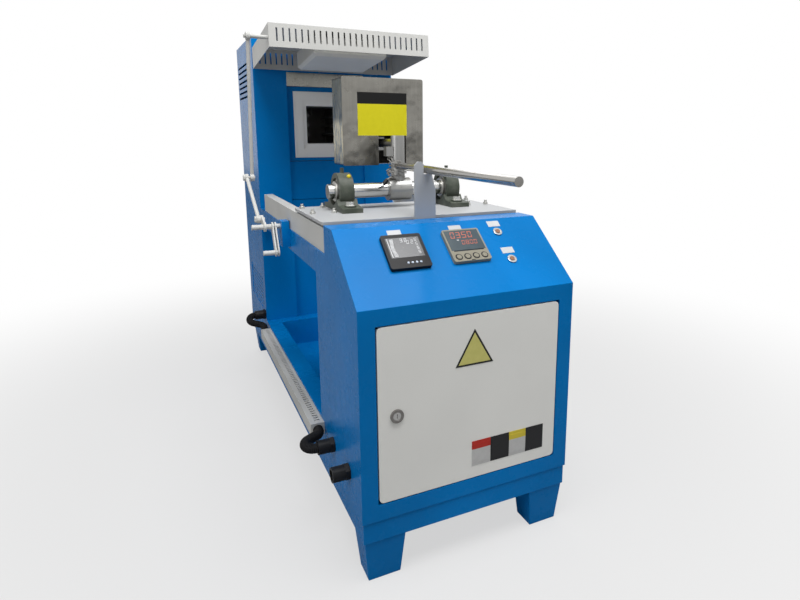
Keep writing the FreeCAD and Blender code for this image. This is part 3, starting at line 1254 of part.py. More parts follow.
lower_bores = [rod("lower_bore_top", "x", "-lower_rod_x - eye_thick", "elbow_y", "elbow_z",
                   "elbow_bolt_radius", "2 * eye_thick"),
               rod("lower_bore_low", "x", "-lower_rod_x - eye_thick", "clamp_y", "clamp_z",
                   "elbow_bolt_radius", "2 * eye_thick")]
keep(cut("lower_rod", fuse("lower_all", lower, *lower_eyes), *lower_bores), "lower_rod")
joint_bolts = []
for name, y, z, start, length in (
        ("elbow", "elbow_y", "elbow_z", "-lower_rod_x - eye_thick / 2 - 3", "lower_rod_x - link_rod_x + eye_thick + 6"),
        ("clamp", "clamp_y", "clamp_z", "-lower_rod_x - eye_thick / 2 - 3", "eye_thick + 14")):
    shank = rod(name + "_shank", "x", start, y, z, "elbow_bolt_radius", length)
    nut = doc.addObject("Part::Prism", name + "_nut")
    nut.Polygon = 6
    nut.Placement = FreeCAD.Placement(V(0, 0, 0), X_AXIS)
    bind(nut, "Circumradius", "8.5 / cos(30)")
    bind(nut, "Height", "6")
    put(nut, "-lower_rod_x - eye_thick / 2 - 6", y, z)
    joint_bolts.append(fuse(name + "_bolt", shank, nut))
keep(fuse("linkage_bolts", *joint_bolts), "linkage_bolts")
cross_bar = rod("cross_bar", "x", "-left_reach", "crank_y", "crank_z", "cross_shaft_radius",
                "left_reach - " + half + " - sheet_thick")
crank_plate_x = "-lower_rod_x + eye_thick / 2"
web_rod = [rod("crank_disc_a", "x", crank_plate_x, "crank_y", "crank_z", "14", "6"),
           rod("crank_disc_b", "x", crank_plate_x, "clamp_y", "clamp_z", "12", "6")]
crank_web = body("crank_web")
pad(crank_web, "crank_web_pad", "x", [
    ("crank_y - 4", "crank_z + 12"), ("clamp_y - 4", "clamp_z + 11"),
    ("clamp_y + 4", "clamp_z - 11"), ("crank_y + 4", "crank_z - 13")], crank_plate_x, "6")
crank_hole = rod("crank_hole", "x", crank_plate_x + " - 1", "clamp_y", "clamp_z",
                 "elbow_bolt_radius", "8")
keep(cut("crank", fuse("crank_all", cross_bar, crank_web, *web_rod), crank_hole), "crank")
levers = []
for i, start in enumerate(("-lever_x - lever_thick", "-lever_x - 3 * lever_thick")):
    bar = body("lever_bar_%d" % i)
    pad(bar, "lever_bar_pad_%d" % i, "x", [
        ("crank_y - lever_wide / 2", "crank_z + 4"), ("crank_y + lever_wide / 2", "crank_z - 4"),
        ("crank_y - lever_long_y + lever_wide / 2", "crank_z - lever_long_z - 4"),
        ("crank_y - lever_long_y - lever_wide / 2", "crank_z - lever_long_z + 4")], start, "lever_thick")
    levers.append(bar)
    levers.append(rod("lever_head_%d" % i, "x", start, "crank_y", "crank_z", "13", "lever_thick"))
    levers.append(rod("lever_toe_%d" % i, "x", start, "crank_y - lever_long_y", "crank_z - lever_long_z",
                      "11", "lever_thick"))
grip = rod("lever_grip", "x", "-lever_x - 3 * lever_thick - grip_long", "crank_y - lever_long_y",
           "crank_z - lever_long_z", "grip_radius", "grip_long + 3 * lever_thick")
lever_bore = rod("lever_bore", "x", "-lever_x - 50", "crank_y", "crank_z",
                 "cross_shaft_radius + fit_gap", "100")
keep(cut("hand_lever", fuse("lever_all", *levers, grip), lever_bore), "hand_lever")
lug_plate = box("lug_plate", "-" + half + " - lug_thick", "crank_y - lug_wide / 2", "lug_low_z",
                "lug_thick", "lug_wide", "crank_z - lug_low_z + 16")
lug_bore = rod("lug_bore", "x", "-" + half + " - 2 * lug_thick", "crank_y", "crank_z",
               "cross_shaft_radius + fit_gap", "3 * lug_thick")
keep(cut("crank_lug", lug_plate, lug_bore), "crank_lug")

# Cable duct, cover, glands and conduits
duct_x = "-" + half + " - duct_stand"
duct = box("duct_block", duct_x + " + duct_wall", "duct_front_y", "duct_low_z",
           "duct_stand - duct_wall", "duct_rear_y - duct_front_y", "duct_high_z - duct_low_z")
duct_core = box("duct_core", duct_x, "duct_front_y + duct_wall", "duct_low_z + duct_wall",
                "duct_stand - duct_wall", "duct_rear_y - duct_front_y - 2 * duct_wall",
                "duct_high_z - duct_low_z - 2 * duct_wall")
duct_ends = rod("duct_end_hole", "y", "-" + half + " - duct_stand / 2", "duct_front_y - 5", "conduit_z",
                "conduit_radius - 2", "duct_rear_y - duct_front_y + 10")
keep(cut("cable_duct", duct, duct_core, duct_ends), "cable_duct")
keep(box("duct_cover", duct_x, "duct_front_y", "duct_low_z", "duct_wall",
         "duct_rear_y - duct_front_y", "duct_high_z - duct_low_z"), "duct_cover")
glands = []
for i, (y, z) in enumerate((("front_gland_y", "conduit_z"), ("spare_gland_y", "conduit_z"),
                            ("rear_gland_y", "rear_gland_z"))):
    stem = rod("gland_stem_%d" % i, "x", "-" + half + " - gland_long", y, z, "gland_radius", "gland_long")
    nut = doc.addObject("Part::Prism", "gland_nut_%d" % i)
    nut.Polygon = 6
    nut.Placement = FreeCAD.Placement(V(0, 0, 0), X_AXIS)
    bind(nut, "Circumradius", "gland_nut_radius")
    bind(nut, "Height", "9")
    put(nut, "-" + half + " - 11", y, z)
    hole = rod("gland_hollow_%d" % i, "x", "-" + half + " - gland_long - 1", y, z, "gland_radius - 5",
               "gland_long + 2")
    glands.append(cut("gland_%d" % i, fuse("gland_all_%d" % i, stem, nut), hole))
keep(fuse("cable_glands", *glands), "cable_glands")

shift = V(value(MACHINE[0]), value(MACHINE[1]), 0)
bend = value("conduit_bend")
swing = math.radians(value("conduit_swing"))
reach_x = value(half + " + gland_long - body_width / 2 - duct_stand / 2")
straight = (reach_x + 2 * bend * math.cos(swing) - bend) / math.sin(swing)


def conduit(name, start, run_dir, run, lead):
    """Bent round conduit from a duct end to a gland: straight runs and tangent arcs."""
    out = V(-1, 0, 0)
    first = run - 2 * bend * math.sin(swing) - straight * math.cos(swing) - bend

    def spot(out_by, run_by):
        return start + out * out_by + run_dir * run_by

    def turn(low, high, origin_out, origin_run, sign):
        angles = [low, (low + high) / 2, high]
        return [spot(origin_out - sign * bend * math.cos(a), origin_run + bend * math.sin(a)) for a in angles]

    one = turn(0, swing, bend, first, 1)
    bend_out = bend * (1 - math.cos(swing)) + straight * math.sin(swing)
    bend_run = first + bend * math.sin(swing) + straight * math.cos(swing)
    centre_out = bend_out - bend * math.cos(swing)
    centre_run = bend_run + bend * math.sin(swing)
    two = [spot(centre_out + bend * math.cos(a), centre_run - bend * math.sin(a))
           for a in (swing, swing / 2 - math.pi / 4, -math.pi / 2)]
    edges = [Part.LineSegment(start - run_dir * lead, one[0]).toShape(),
             Part.Arc(*one).toShape(),
             Part.LineSegment(one[2], two[0]).toShape(),
             Part.Arc(*two).toShape()]
    path = Part.Wire(edges)
    ring = Part.Wire([Part.makeCircle(value("conduit_radius"), start - run_dir * lead, run_dir)])
    pipe = path.makePipeShell([ring], True, False)
    area = math.pi * value("conduit_radius") ** 2
    print(name, "length", round(path.Length, 1), "volume ratio", round(pipe.Volume / area / path.Length, 4),
          "bend", bend, "first straight", round(first, 1))
    return pipe


front_start = V(value("-1 * body_width / 2 - duct_stand / 2"), value("duct_front_y"), value("conduit_z"))
rear_start = V(front_start.x, value("duct_rear_y"), front_start.z)
rear_step = V(0, value("rear_gland_y - duct_rear_y"), value("rear_gland_z - conduit_z"))
rear_run = rear_step.Length
rear_step.normalize()
front_pipe = conduit("front", front_start, V(0, -1, 0), value("duct_front_y - front_gland_y"), 0)
rear_pipe = conduit("rear", rear_start, rear_step, rear_run, 12)
keep_out = Part.makeBox(200, 400, 400, rear_start + V(-100, -400, -200))
rear_pipe = rear_pipe.cut(keep_out)
for name, shape in (("conduit_front", front_pipe), ("conduit_rear", rear_pipe)):
    item = doc.addObject("Part::Feature", name)
    item.Shape = shape
    item.Placement = FreeCAD.Placement(shift, FreeCAD.Rotation())
    keep(item, name)

# Sub-parts that are welded or bolted fast to one another
join("side_frames", "side_frame_left", "side_frame_right", "cross_member", "bottom_pan", "crank_lug")
weld("door_labels", "triangle_plate", "label_strip")
weld("instrument_screens", "controller_screen", "meter_screen")
join("mounting_panel", "mounting_plate", "din_rail")
weld("control_gear", "switchgear", "power_regulator")
join("carriage_rails", "rail_left", "rail_right")
weld("roller_brackets", "roller_cheeks", "roller_axles")
weld("carriage_bolts", "block_bolts", "plate_bolts")
weld("carriage_deck", "carriage_plate", "rod_rest")
weld("bearing_blocks", "pillow_blocks", "grease_caps")
weld("tilting_arm", "tilt_arm", "lead_connector")
weld("vent_meshes", "vent_mesh_left", "vent_mesh_right")
join("furnace_cabinet", "cabinet_shell", "lining_shelf")
weld("chamber_fittings", "heating_rods", "chamber_probe")
weld("furnace_flap", "flap_tray", "plug_studs", "flap_knuckles", "link_stub")
weld("flap_hinges", "hinge_ears", "hinge_pins")
weld("lever_arm", "lower_rod", "crank", "linkage_bolts", "hand_lever")
weld("cable_trunking", "cable_duct", "duct_cover")
weld("conduits", "conduit_front", "conduit_rear")
doc.recompute()

# Report and write every sub-part
os.makedirs("parts", exist_ok=True)
for item in doc.Objects:
    for word in item.State:
        if word in ("Invalid", "Error"):
            print("STATE", item.Name, item.State)
whole = FreeCAD.BoundBox()
for item in nodes:
    shape = item.Shape
    good = not shape.isNull() and shape.isValid()
    print("%-22s valid %s solids %d volume %.0f" % (item.Label, good, len(shape.Solids), shape.Volume))
    whole.add(shape.BoundBox)
    shape.exportStep("parts/" + item.Label + ".step")
print("nodes", len(nodes), whole)
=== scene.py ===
# %% [markdown]
# A thermal shock test furnace stands on one long base. A console with a sloped panel is at the
# front, a carriage with a tilting sample box runs on rails behind it, and a tall furnace cabinet
# with a lifting door flap closes the rear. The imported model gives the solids; this script gives
# them their finishes and the small parts that make them look real.

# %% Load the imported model
import json
import math

import bmesh
import bpy
import numpy as np
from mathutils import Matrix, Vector


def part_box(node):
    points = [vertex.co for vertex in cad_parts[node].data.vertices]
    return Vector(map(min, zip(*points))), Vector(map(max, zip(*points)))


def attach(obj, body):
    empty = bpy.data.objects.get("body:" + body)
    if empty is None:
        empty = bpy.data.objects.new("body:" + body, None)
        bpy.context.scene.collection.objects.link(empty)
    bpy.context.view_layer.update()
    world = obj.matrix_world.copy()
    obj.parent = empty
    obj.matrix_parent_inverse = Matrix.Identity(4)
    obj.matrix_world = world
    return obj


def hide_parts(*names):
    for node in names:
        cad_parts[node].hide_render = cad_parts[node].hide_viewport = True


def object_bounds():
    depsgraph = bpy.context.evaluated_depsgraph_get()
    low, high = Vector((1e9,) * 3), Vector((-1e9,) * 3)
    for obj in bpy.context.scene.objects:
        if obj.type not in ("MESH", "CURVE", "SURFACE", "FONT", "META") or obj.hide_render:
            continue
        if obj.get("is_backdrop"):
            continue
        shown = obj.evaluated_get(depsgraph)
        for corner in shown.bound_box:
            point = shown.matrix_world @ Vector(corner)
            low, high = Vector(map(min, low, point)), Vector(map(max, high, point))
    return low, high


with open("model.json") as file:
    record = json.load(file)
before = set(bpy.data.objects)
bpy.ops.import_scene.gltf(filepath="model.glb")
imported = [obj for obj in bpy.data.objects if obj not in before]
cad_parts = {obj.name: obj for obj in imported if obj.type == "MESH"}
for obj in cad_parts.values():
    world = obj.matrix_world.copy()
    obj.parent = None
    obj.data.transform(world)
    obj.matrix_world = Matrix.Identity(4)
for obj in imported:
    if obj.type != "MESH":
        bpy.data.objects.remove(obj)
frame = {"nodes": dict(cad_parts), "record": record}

cad_low, cad_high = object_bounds()
print("box of the solids", [round(v, 3) for v in cad_low], [round(v, 3) for v in cad_high])

# %% [markdown]
# The workshop drawing measures X from the middle of the body, Y from the console's front and Z
# from the floor, in millimetres. The model's own frame is in metres about the centre of the whole
# machine, so one small function carries a drawing point over, and all sizes stay readable.

# %% Drawing frame
MIDDLE = Vector((51.5, -720.0, 0.0))
SLOPE_RUN, FOLD_Z, TOP_Z = 172.0, 622.0, 760.0
SLOPE_LONG = math.hypot(SLOPE_RUN, TOP_Z - FOLD_Z)
SLOPE_UP = Vector((0.0, SLOPE_RUN, TOP_Z - FOLD_Z)) / SLOPE_LONG
SLOPE_OUT = Vector((0.0, -(TOP_Z - FOLD_Z), SLOPE_RUN)) / SLOPE_LONG


def at(x, y, z):
    """A drawing point as a point of the model."""
    return (Vector((x, y, z)) + MIDDLE) / 1000


def panel_at(x, down, out=0.0):
    """A point of the sloped panel: across, down the slope from its top edge, and outwards."""
    spot = Vector((x, SLOPE_RUN, TOP_Z)) - SLOPE_UP * down + SLOPE_OUT * out
    return at(*spot)


print("sloped panel", round(SLOPE_LONG, 1), "mm down the slope")

# %% [markdown]
# The camera stands at the left in front of the console, at chest height. Its place, turn and lens
# were worked out from some thirty corners of the machine whose sizes are known, and a small shift
# puts the machine where the picture has it.

# %% Camera
camera = bpy.data.objects.new("camera", bpy.data.cameras.new("camera"))
bpy.context.scene.collection.objects.link(camera)
camera.location = at(-586, -1046, 965)
camera.rotation_euler = (math.radians(90 - 10.72), math.radians(-0.13), math.radians(-26.02))
camera.data.sensor_width = 36
camera.data.lens = 25.82
camera.data.shift_x = -0.0549
camera.data.shift_y = -0.0711
camera.data.clip_end = 60
bpy.context.scene.camera = camera
print("camera", [round(v, 3) for v in camera.location])

# %% [markdown]
# Finishes are node trees, and most of a tree is arithmetic. One small class wraps the output of a
# node so that ordinary sums add the maths nodes, and a second one adds any other node with its
# settings first and its inputs after. Written like this, a finish reads as a recipe.

# %% Shader sums


class Wire:
    """One output of a node tree that can stand in a sum."""

    def __init__(self, recipe, socket):
        self.recipe = recipe
        self.socket = socket

    def maths(self, operation, *others):
        node = self.recipe.tree.nodes.new("ShaderNodeMath")
        node.operation = operation
        for slot, item in zip(node.inputs, (self,) + others):
            self.recipe.feed(slot, item)
        return Wire(self.recipe, node.outputs[0])

    def __add__(self, other):
        return self.maths("ADD", other)

    def __radd__(self, other):
        return self.maths("ADD", other)

    def __sub__(self, other):
        return self.maths("SUBTRACT", other)

    def __rsub__(self, other):
        return self.recipe.number(other).maths("SUBTRACT", self)

    def __mul__(self, other):
        return self.maths("MULTIPLY", other)

    def __rmul__(self, other):
        return self.maths("MULTIPLY", other)

    def __pow__(self, other):
        return self.maths("POWER", other)

    def __lt__(self, other):
        return self.maths("LESS_THAN", other)

    def __gt__(self, other):
        return self.maths("GREATER_THAN", other)

    def inside(self, low, high):
        """One between two values and nothing outside them."""
        return (self > low) * (self < high)

    def ramp(self, low, high, start=0.0, end=1.0):
        """Soft step from one value to another."""
        return self.recipe.node(
            "ShaderNodeMapRange", {"interpolation_type": "SMOOTHSTEP"},
            {"Value": self, "From Min": low, "From Max": high, "To Min": start, "To Max": end})


class Recipe:
    """One finish: a material with its shader and helpers for its nodes.

    Keywords name sockets of the shader, with an underscore for each blank.
    """

    def __init__(self, name, **constants):
        self.material = bpy.data.materials.new(name)
        self.material.use_nodes = True
        self.tree = self.material.node_tree
        self.shader = self.tree.nodes["Principled BSDF"]
        for socket, amount in constants.items():
            self.shader.inputs[socket.replace("_", " ")].default_value = amount
        coordinates = self.tree.nodes.new("ShaderNodeTexCoord")
        self.place = Wire(self, coordinates.outputs["Object"])
        split = self.tree.nodes.new("ShaderNodeSeparateXYZ")
        self.feed(split.inputs[0], self.place)
        self.x, self.y, self.z = (Wire(self, output) for output in split.outputs)

    def feed(self, slot, item):
        if isinstance(item, Wire):
            self.tree.links.new(item.socket, slot)
        elif slot.type == "RGBA" and len(item) == 3:
            slot.default_value = (*item, 1.0)
        else:
            slot.default_value = item

    def node(self, kind, settings=None, inputs=None, output=0):
        made = self.tree.nodes.new(kind)
        for word, item in (settings or {}).items():
            setattr(made, word, item)
        for word, item in (inputs or {}).items():
            self.feed(made.inputs[word], item)
        return Wire(self, made.outputs[output])

    def number(self, amount):
        """A plain number as a wire, for sums that start with it."""
        return self.node("ShaderNodeMath", {"operation": "ADD"}, {0: amount, 1: 0.0})

    def spread(self, scale, detail=3.0, rough=0.5, stretch=None, shift=0.0):
        """Noise from nothing to one, stretched along the axes if asked."""
        vector = self.place
        if stretch or shift:
            vector = self.node("ShaderNodeMapping", {}, {
                "Vector": self.place, "Location": (shift, shift * 0.7, -shift),
                "Scale": stretch or (1.0, 1.0, 1.0)})
        return self.node("ShaderNodeTexNoise", {}, {
            "Vector": vector, "Scale": scale, "Detail": detail, "Roughness": rough})

    def mix(self, share, low, high):
        """Colour between two others."""
        made = self.tree.nodes.new("ShaderNodeMix")
        made.data_type = "RGBA"
        self.feed(made.inputs[0], share)
        self.feed(made.inputs[6], low)
        self.feed(made.inputs[7], high)
        return Wire(self, made.outputs[2])

    def bump(self, height, depth, strength=1.0, below=None):
        """Surface relief; depth is the height of one unit in metres."""
        inputs = {"Height": height, "Distance": depth, "Strength": strength}
        if below is not None:
            inputs["Normal"] = below
        return self.node("ShaderNodeBump", {}, inputs)

    def finish(self, **links):
        for socket, item in links.items():
            self.feed(self.shader.inputs[socket.replace("_", " ")], item)
        return self.material


print("shader helpers ready")

# %% [markdown]
# Powder coat is a thick soft gloss with a fine orange peel. It collects pale dust in clouds and
# small lighter rubs where hands and tools pass. The same recipe serves the blue body, the off-white
# carriage and flap, the warm grey console door and the grey cable duct, because only colour, gloss
# and dirt differ. The blue has little dust and a weak shine, so that it stays a deep colour.

# %% Powder coat


def powder_coat(name, colour, rough, peel=0.00006, dust=0.1, tone=0.12, shine=0.14):
    """Painted sheet; peel is its relief in metres, dust and tone are how dirty and uneven it is."""
    coat = Recipe(name, Specular_IOR_Level=shine)
    cloud = coat.spread(2.2, 2.0, 0.6)
    grime = coat.spread(9.0, 6.0, 0.65, shift=3.0)
    fine = coat.spread(420.0, 2.0, 0.5)
    scuff = coat.spread(38.0, 5.0, 0.7, stretch=(1.0, 1.0, 0.35), shift=9.0).ramp(0.60, 0.74)
    dull = [c * (1 - tone) for c in colour]
    pale = [min(1.0, c * (1 + tone)) for c in colour]
    base = coat.mix(cloud.ramp(0.3, 0.7), dull, pale)
    grey = 0.5 * max(colour) + 0.08
    base = coat.mix(grime.ramp(0.52, 0.9) * dust, base, (grey, grey, grey * 0.97))
    base = coat.mix(scuff * dust, base, [min(1.0, c + 0.08) for c in colour])
    relief = coat.bump(fine, peel, 0.6)
    return coat.finish(
        Base_Color=base, Roughness=grime * 0.16 + (rough - 0.08) + scuff * 0.12, Normal=relief)


finishes = {
    "blue_paint": powder_coat(
        "blue_powder_coat", (0.0003, 0.165, 0.48), 0.27, dust=0.012, shine=0.07),
    "white_paint": powder_coat(
        "off_white_powder_coat", (0.56, 0.56, 0.54), 0.42, dust=0.2, tone=0.06),
    "grey_paint": powder_coat(
        "warm_grey_powder_coat", (0.80, 0.80, 0.77), 0.40, dust=0.1, tone=0.04),
    "deck_paint": powder_coat("carriage_deck_coat", (0.42, 0.43, 0.44), 0.42, dust=0.2, tone=0.06),
    "frame_paint": powder_coat("mouth_frame_coat", (0.86, 0.85, 0.82), 0.45, dust=0.1, tone=0.05),
    "grey_plastic": powder_coat(
        "grey_duct_plastic", (0.50, 0.50, 0.48), 0.5, peel=0.00002, dust=0.25),
}
print("painted finishes", len(finishes))

# %% [markdown]
# Bare metals: sheet stainless with its rolling grain, ground bright rods, dull steel brackets and
# zinc-plated screws. Each has a grain that can be drawn out along one axis, a little cloudiness in
# its shine and a few darker stains from handling. One recipe makes them all, so they look related.

# %% Metals
GRAIN_DEPTH = 0.00002


def metal(name, colour, rough, stretch, stain=0.3, dents=0.0):
    """Bare metal; stretch draws its grain out along an axis, dents is their depth in metres."""
    steel = Recipe(name, Metallic=1.0)
    grains = steel.spread(260.0, 3.0, 0.6, stretch=stretch)
    cloud = steel.spread(14.0, 4.0, 0.6, shift=5.0)
    marks = steel.spread(60.0, 6.0, 0.7, shift=1.0).ramp(0.58, 0.75)
    base = steel.mix(grains * 0.5 + cloud * 0.5, [c * 0.78 for c in colour],
                     [min(1.0, c * 1.12) for c in colour])
    base = steel.mix(marks * stain, base, (0.16, 0.13, 0.10))
    relief = steel.bump(grains, GRAIN_DEPTH, 0.7)
    if dents:
        relief = steel.bump(steel.spread(7.0, 2.0, 0.4, shift=2.0), dents, 0.5, relief)
    return steel.finish(
        Base_Color=base, Roughness=cloud * 0.16 + (rough - 0.06) + marks * 0.1, Normal=relief)


finishes.update({
    "steel": metal("dull_rolled_steel", (0.55, 0.54, 0.51), 0.36, (1.0, 1.0, 0.08)),
    "stainless": metal(
        "brushed_stainless_sheet", (0.27, 0.265, 0.24), 0.26, (1.0, 1.0, 0.03), dents=0.004),
    "bright_steel": metal(
        "ground_bright_rod", (0.56, 0.56, 0.55), 0.16, (1.0, 0.15, 1.0), stain=0.12),
    "arm_steel": metal("worn_arm_steel", (0.36, 0.36, 0.35), 0.3, (1.0, 1.0, 0.05), stain=0.5),
    "rod_steel": metal("handled_rod_steel", (0.42, 0.41, 0.39), 0.2, (1.0, 0.1, 1.0), stain=0.6),
    "dark_steel": metal("dark_worn_steel", (0.24, 0.23, 0.22), 0.42, (1.0, 1.0, 1.0)),
    "zinc": metal("zinc_plated_steel", (0.60, 0.60, 0.57), 0.3, (1.0, 1.0, 1.0)),
})
print("finishes so far", len(finishes))

# %% [markdown]
# Cast housings keep a pebbled sand-cast skin under their green enamel. The other stuffs are matt:
# fibre board is chalky and slightly pitted, wool is rough, rubber and moulded plastics have a fine
# texture. They share one recipe, with the size and depth of the grain as its inputs.

# %% Castings, ceramic, rubber and plastics
cast = Recipe("green_enamelled_casting", Specular_IOR_Level=0.3)
pebbles = cast.spread(300.0, 5.0, 0.7)
patch = cast.spread(30.0, 4.0, 0.6, shift=4.0)
finishes["green_cast"] = cast.finish(
    Base_Color=cast.mix(patch.ramp(0.35, 0.8), (0.046, 0.056, 0.042), (0.10, 0.108, 0.088)),
    Roughness=patch * 0.25 + 0.38, Normal=cast.bump(pebbles, 0.0004, 0.7))


def matt(name, colour, rough, grain_scale, grain_depth, contrast=0.12):
    """Dull stuff; the grain's depth is in metres."""
    stuff = Recipe(name, Specular_IOR_Level=0.2)
    grain = stuff.spread(grain_scale, 4.0, 0.6)
    cloud = stuff.spread(12.0, 4.0, 0.6, shift=6.0)
    base = stuff.mix(grain * 0.4 + cloud * 0.6, [c * (1 - contrast) for c in colour],
                     [min(1.0, c * (1 + contrast)) for c in colour])
    return stuff.finish(Base_Color=base, Roughness=cloud * 0.15 + (rough - 0.07),
                        Normal=stuff.bump(grain, grain_depth, 0.7))


finishes.update({
    "ceramic": matt("ceramic_fibre_board", (0.80, 0.79, 0.74), 0.8, 220.0, 0.0003, 0.1),
    "charred": matt("charred_wool", (0.03, 0.026, 0.022), 0.95, 160.0, 0.0012, 0.5),
    "wool": matt("mineral_wool", (0.7, 0.68, 0.62), 0.95, 160.0, 0.0012, 0.16),
    "black_rubber": matt("black_rubber", (0.007, 0.007, 0.008), 0.7, 500.0, 0.00005, 0.3),
    "black_plastic": matt(
        "black_moulded_plastic", (0.008, 0.008, 0.009), 0.45, 700.0, 0.00004, 0.3),
    "beige_plastic": matt(
        "khaki_grey_moulded_plastic", (0.26, 0.245, 0.19), 0.42, 700.0, 0.00003, 0.06),
    "key_plastic": matt("pale_key_plastic", (0.45, 0.52, 0.62), 0.4, 700.0, 0.00002, 0.06),
    "button_plastic": matt("brown_button_plastic", (0.26, 0.13, 0.08), 0.35, 500.0, 0.00002, 0.12),
})
print("finishes so far", len(finishes))

# %% [markdown]
# Instrument windows are dark glossy plastic, and much else is as plain: its colour and its gloss
# vary with one soft noise. The furnace lining is pale fibre at the mouth and darker further in, a
# painted shade of the chamber, so its colour follows the depth behind the mouth frame.

# %% Windows and lining


def clouded(name, shine, scale, dark, light, rough, vary, detail=4.0):
    """Plain stuff; one noise drives its colour and, as much as vary says, its roughness."""
    stuff = Recipe(name, Specular_IOR_Level=shine)
    haze = stuff.spread(scale, detail, 0.6)
    return stuff.finish(Base_Color=stuff.mix(haze, dark, light), Roughness=haze * vary + rough)


finishes["screen"] = clouded(
    "dark_instrument_window", 0.35, 120.0, (0.012, 0.014, 0.02), (0.03, 0.034, 0.045), 0.08, 0.1)

shaded_lining = Recipe("fibre_lining_painted_shade", Specular_IOR_Level=0.2)
lining_cloud = shaded_lining.spread(16.0, 5.0, 0.65)
MOUTH_FACE_Y, SHADE_FROM_Y = 1186, 1212
# Painted shade: the lining's colour darkens with depth behind the mouth frame, as shade falls in
# the chamber.
depth = shaded_lining.y.ramp(at(0, MOUTH_FACE_Y, 0).y, at(0, SHADE_FROM_Y, 0).y)
finishes["lining"] = shaded_lining.finish(
    Base_Color=shaded_lining.mix(depth, shaded_lining.mix(lining_cloud, (0.50, 0.49, 0.46), (0.62, 0.61, 0.58)),
                        shaded_lining.mix(lining_cloud, (0.16, 0.16, 0.16), (0.30, 0.29, 0.27))),
    Roughness=lining_cloud * 0.1 + 0.85, Normal=shaded_lining.bump(shaded_lining.spread(240.0, 4.0, 0.6), 0.0003, 0.7))
print("window and lining", finishes["screen"].name, finishes["lining"].name)

# %% [markdown]
# The steel box is thin stainless that the furnace has left with a heat tint: brushed grey in front,
# and on its left side dark green above and cream below. These two halves of the side are partly
# that tint and partly a painted reflection, pale below eye height and dark above. Its sheet is
# dented, which a wide bump shows. Position alone chooses the colours, with a soft step between the
# two halves.

# %% Heat tint and painted reflection on the steel box
BOX_SIDE_X, REFLECTION_LOW_Z, REFLECTION_HIGH_Z = -122.6, 985, 1015
tint_and_reflection = Recipe("heat_tint_and_painted_reflection", Metallic=1.0)
brush = tint_and_reflection.spread(260.0, 3.0, 0.6, stretch=(1.0, 1.0, 0.03))
heat = tint_and_reflection.spread(9.0, 4.0, 0.6, shift=5.0)
spots = tint_and_reflection.spread(60.0, 6.0, 0.7, shift=1.0).ramp(0.58, 0.75)
dents = tint_and_reflection.bump(tint_and_reflection.spread(7.0, 3.0, 0.5, shift=2.0), 0.012, 0.8)
front_tint = tint_and_reflection.mix(brush * 0.5 + heat * 0.5, (0.16, 0.155, 0.14), (0.34, 0.33, 0.30))
# Painted reflection, partly heat tint: the side is cream below about eye height and dark green
# above, with a soft step between.
upper = tint_and_reflection.z.ramp(at(0, 0, REFLECTION_LOW_Z).z, at(0, 0, REFLECTION_HIGH_Z).z)
side_tint_and_reflection = tint_and_reflection.mix(upper, (0.44, 0.40, 0.28), (0.012, 0.022, 0.010))
tint = tint_and_reflection.mix(tint_and_reflection.x < at(BOX_SIDE_X, 0, 0).x, front_tint, side_tint_and_reflection)
finishes["tint_and_reflection"] = tint_and_reflection.finish(
    Base_Color=tint_and_reflection.mix(spots * 0.3, tint, (0.10, 0.08, 0.06)),
    Roughness=heat * 0.2 + 0.16 + spots * 0.1, Normal=tint_and_reflection.bump(brush, GRAIN_DEPTH, 0.7, dents))
print("tinted from", BOX_SIDE_X, "mm outwards")

# %% [markdown]
# The labels are thin printed plates whose fields stay blank: a pale triangle with a black border, a
# strip of grey and black fields with a red and a yellow header, and a yellow plate with a black
# header on the steel box. The fields end at measured places, worked out in the finish.

# %% Plates
finishes["white_label"] = clouded(
    "pale_label_plate", 0.5, 60.0, (0.44, 0.46, 0.48), (0.54, 0.55, 0.56), 0.35, 0.2)

door_plate = Recipe("door_label_plates", Specular_IOR_Level=0.2)
low_left, apex, low_right = at(-46, 0, 465), at(1, 0, 548), at(49, 0, 465)
BORDER = 0.0042
FIELD_EDGES = [at(edge, 0, 0).x for edge in (46, 96, 142)]
STRIP_HEADER_Z, TRIANGLE_Z, CAUTION_HEADER_Z = (at(0, 0, height).z for height in (260, 380, 1050))
BORDER_BLACK, FIELD_BLACK = (0.02, 0.02, 0.02), (0.02, 0.02, 0.022)


def edge_distance(recipe, a, b):
    """Distance of the point from the line through two corners, inwards."""
    run = Vector((b.x - a.x, b.z - a.z)).normalized()
    return (recipe.z - a.z) * run.x - (recipe.x - a.x) * run.y


inward = edge_distance(door_plate, low_left, low_right).maths(
    "MINIMUM", edge_distance(door_plate, low_right, apex).maths(
        "MINIMUM", edge_distance(door_plate, apex, low_left)))
speck = door_plate.spread(90.0, 4.0, 0.6)
yellow = door_plate.mix(speck, (0.52, 0.50, 0.14), (0.66, 0.62, 0.22))
triangle = door_plate.mix(inward > BORDER, BORDER_BLACK, yellow)
strip = door_plate.mix(speck, (0.46, 0.46, 0.46), (0.58, 0.58, 0.57))
across = door_plate.x
header = door_plate.z > STRIP_HEADER_Z
for where, colour in (
        (across.inside(FIELD_EDGES[0], FIELD_EDGES[1]), FIELD_BLACK),
        (across > FIELD_EDGES[2], FIELD_BLACK),
        (header * (across < FIELD_EDGES[0]), (0.45, 0.03, 0.02)),
        (header * across.inside(FIELD_EDGES[1], FIELD_EDGES[2]), (0.62, 0.5, 0.05))):
    strip = door_plate.mix(where, strip, colour)
finishes["labels"] = door_plate.finish(
    Base_Color=door_plate.mix(door_plate.z > TRIANGLE_Z, strip, triangle),
    Roughness=speck * 0.2 + 0.3)

caution = Recipe("yellow_and_black_plate", Specular_IOR_Level=0.2)
rub = caution.spread(70.0, 5.0, 0.65)
field = caution.mix(rub, (0.62, 0.56, 0.012), (0.72, 0.65, 0.02))
finishes["caution"] = caution.finish(
    Base_Color=caution.mix(caution.z > CAUTION_HEADER_Z, field, (0.007, 0.007, 0.007)),
    Roughness=rub * 0.25 + 0.3)
print("finishes for the solids", len(finishes))
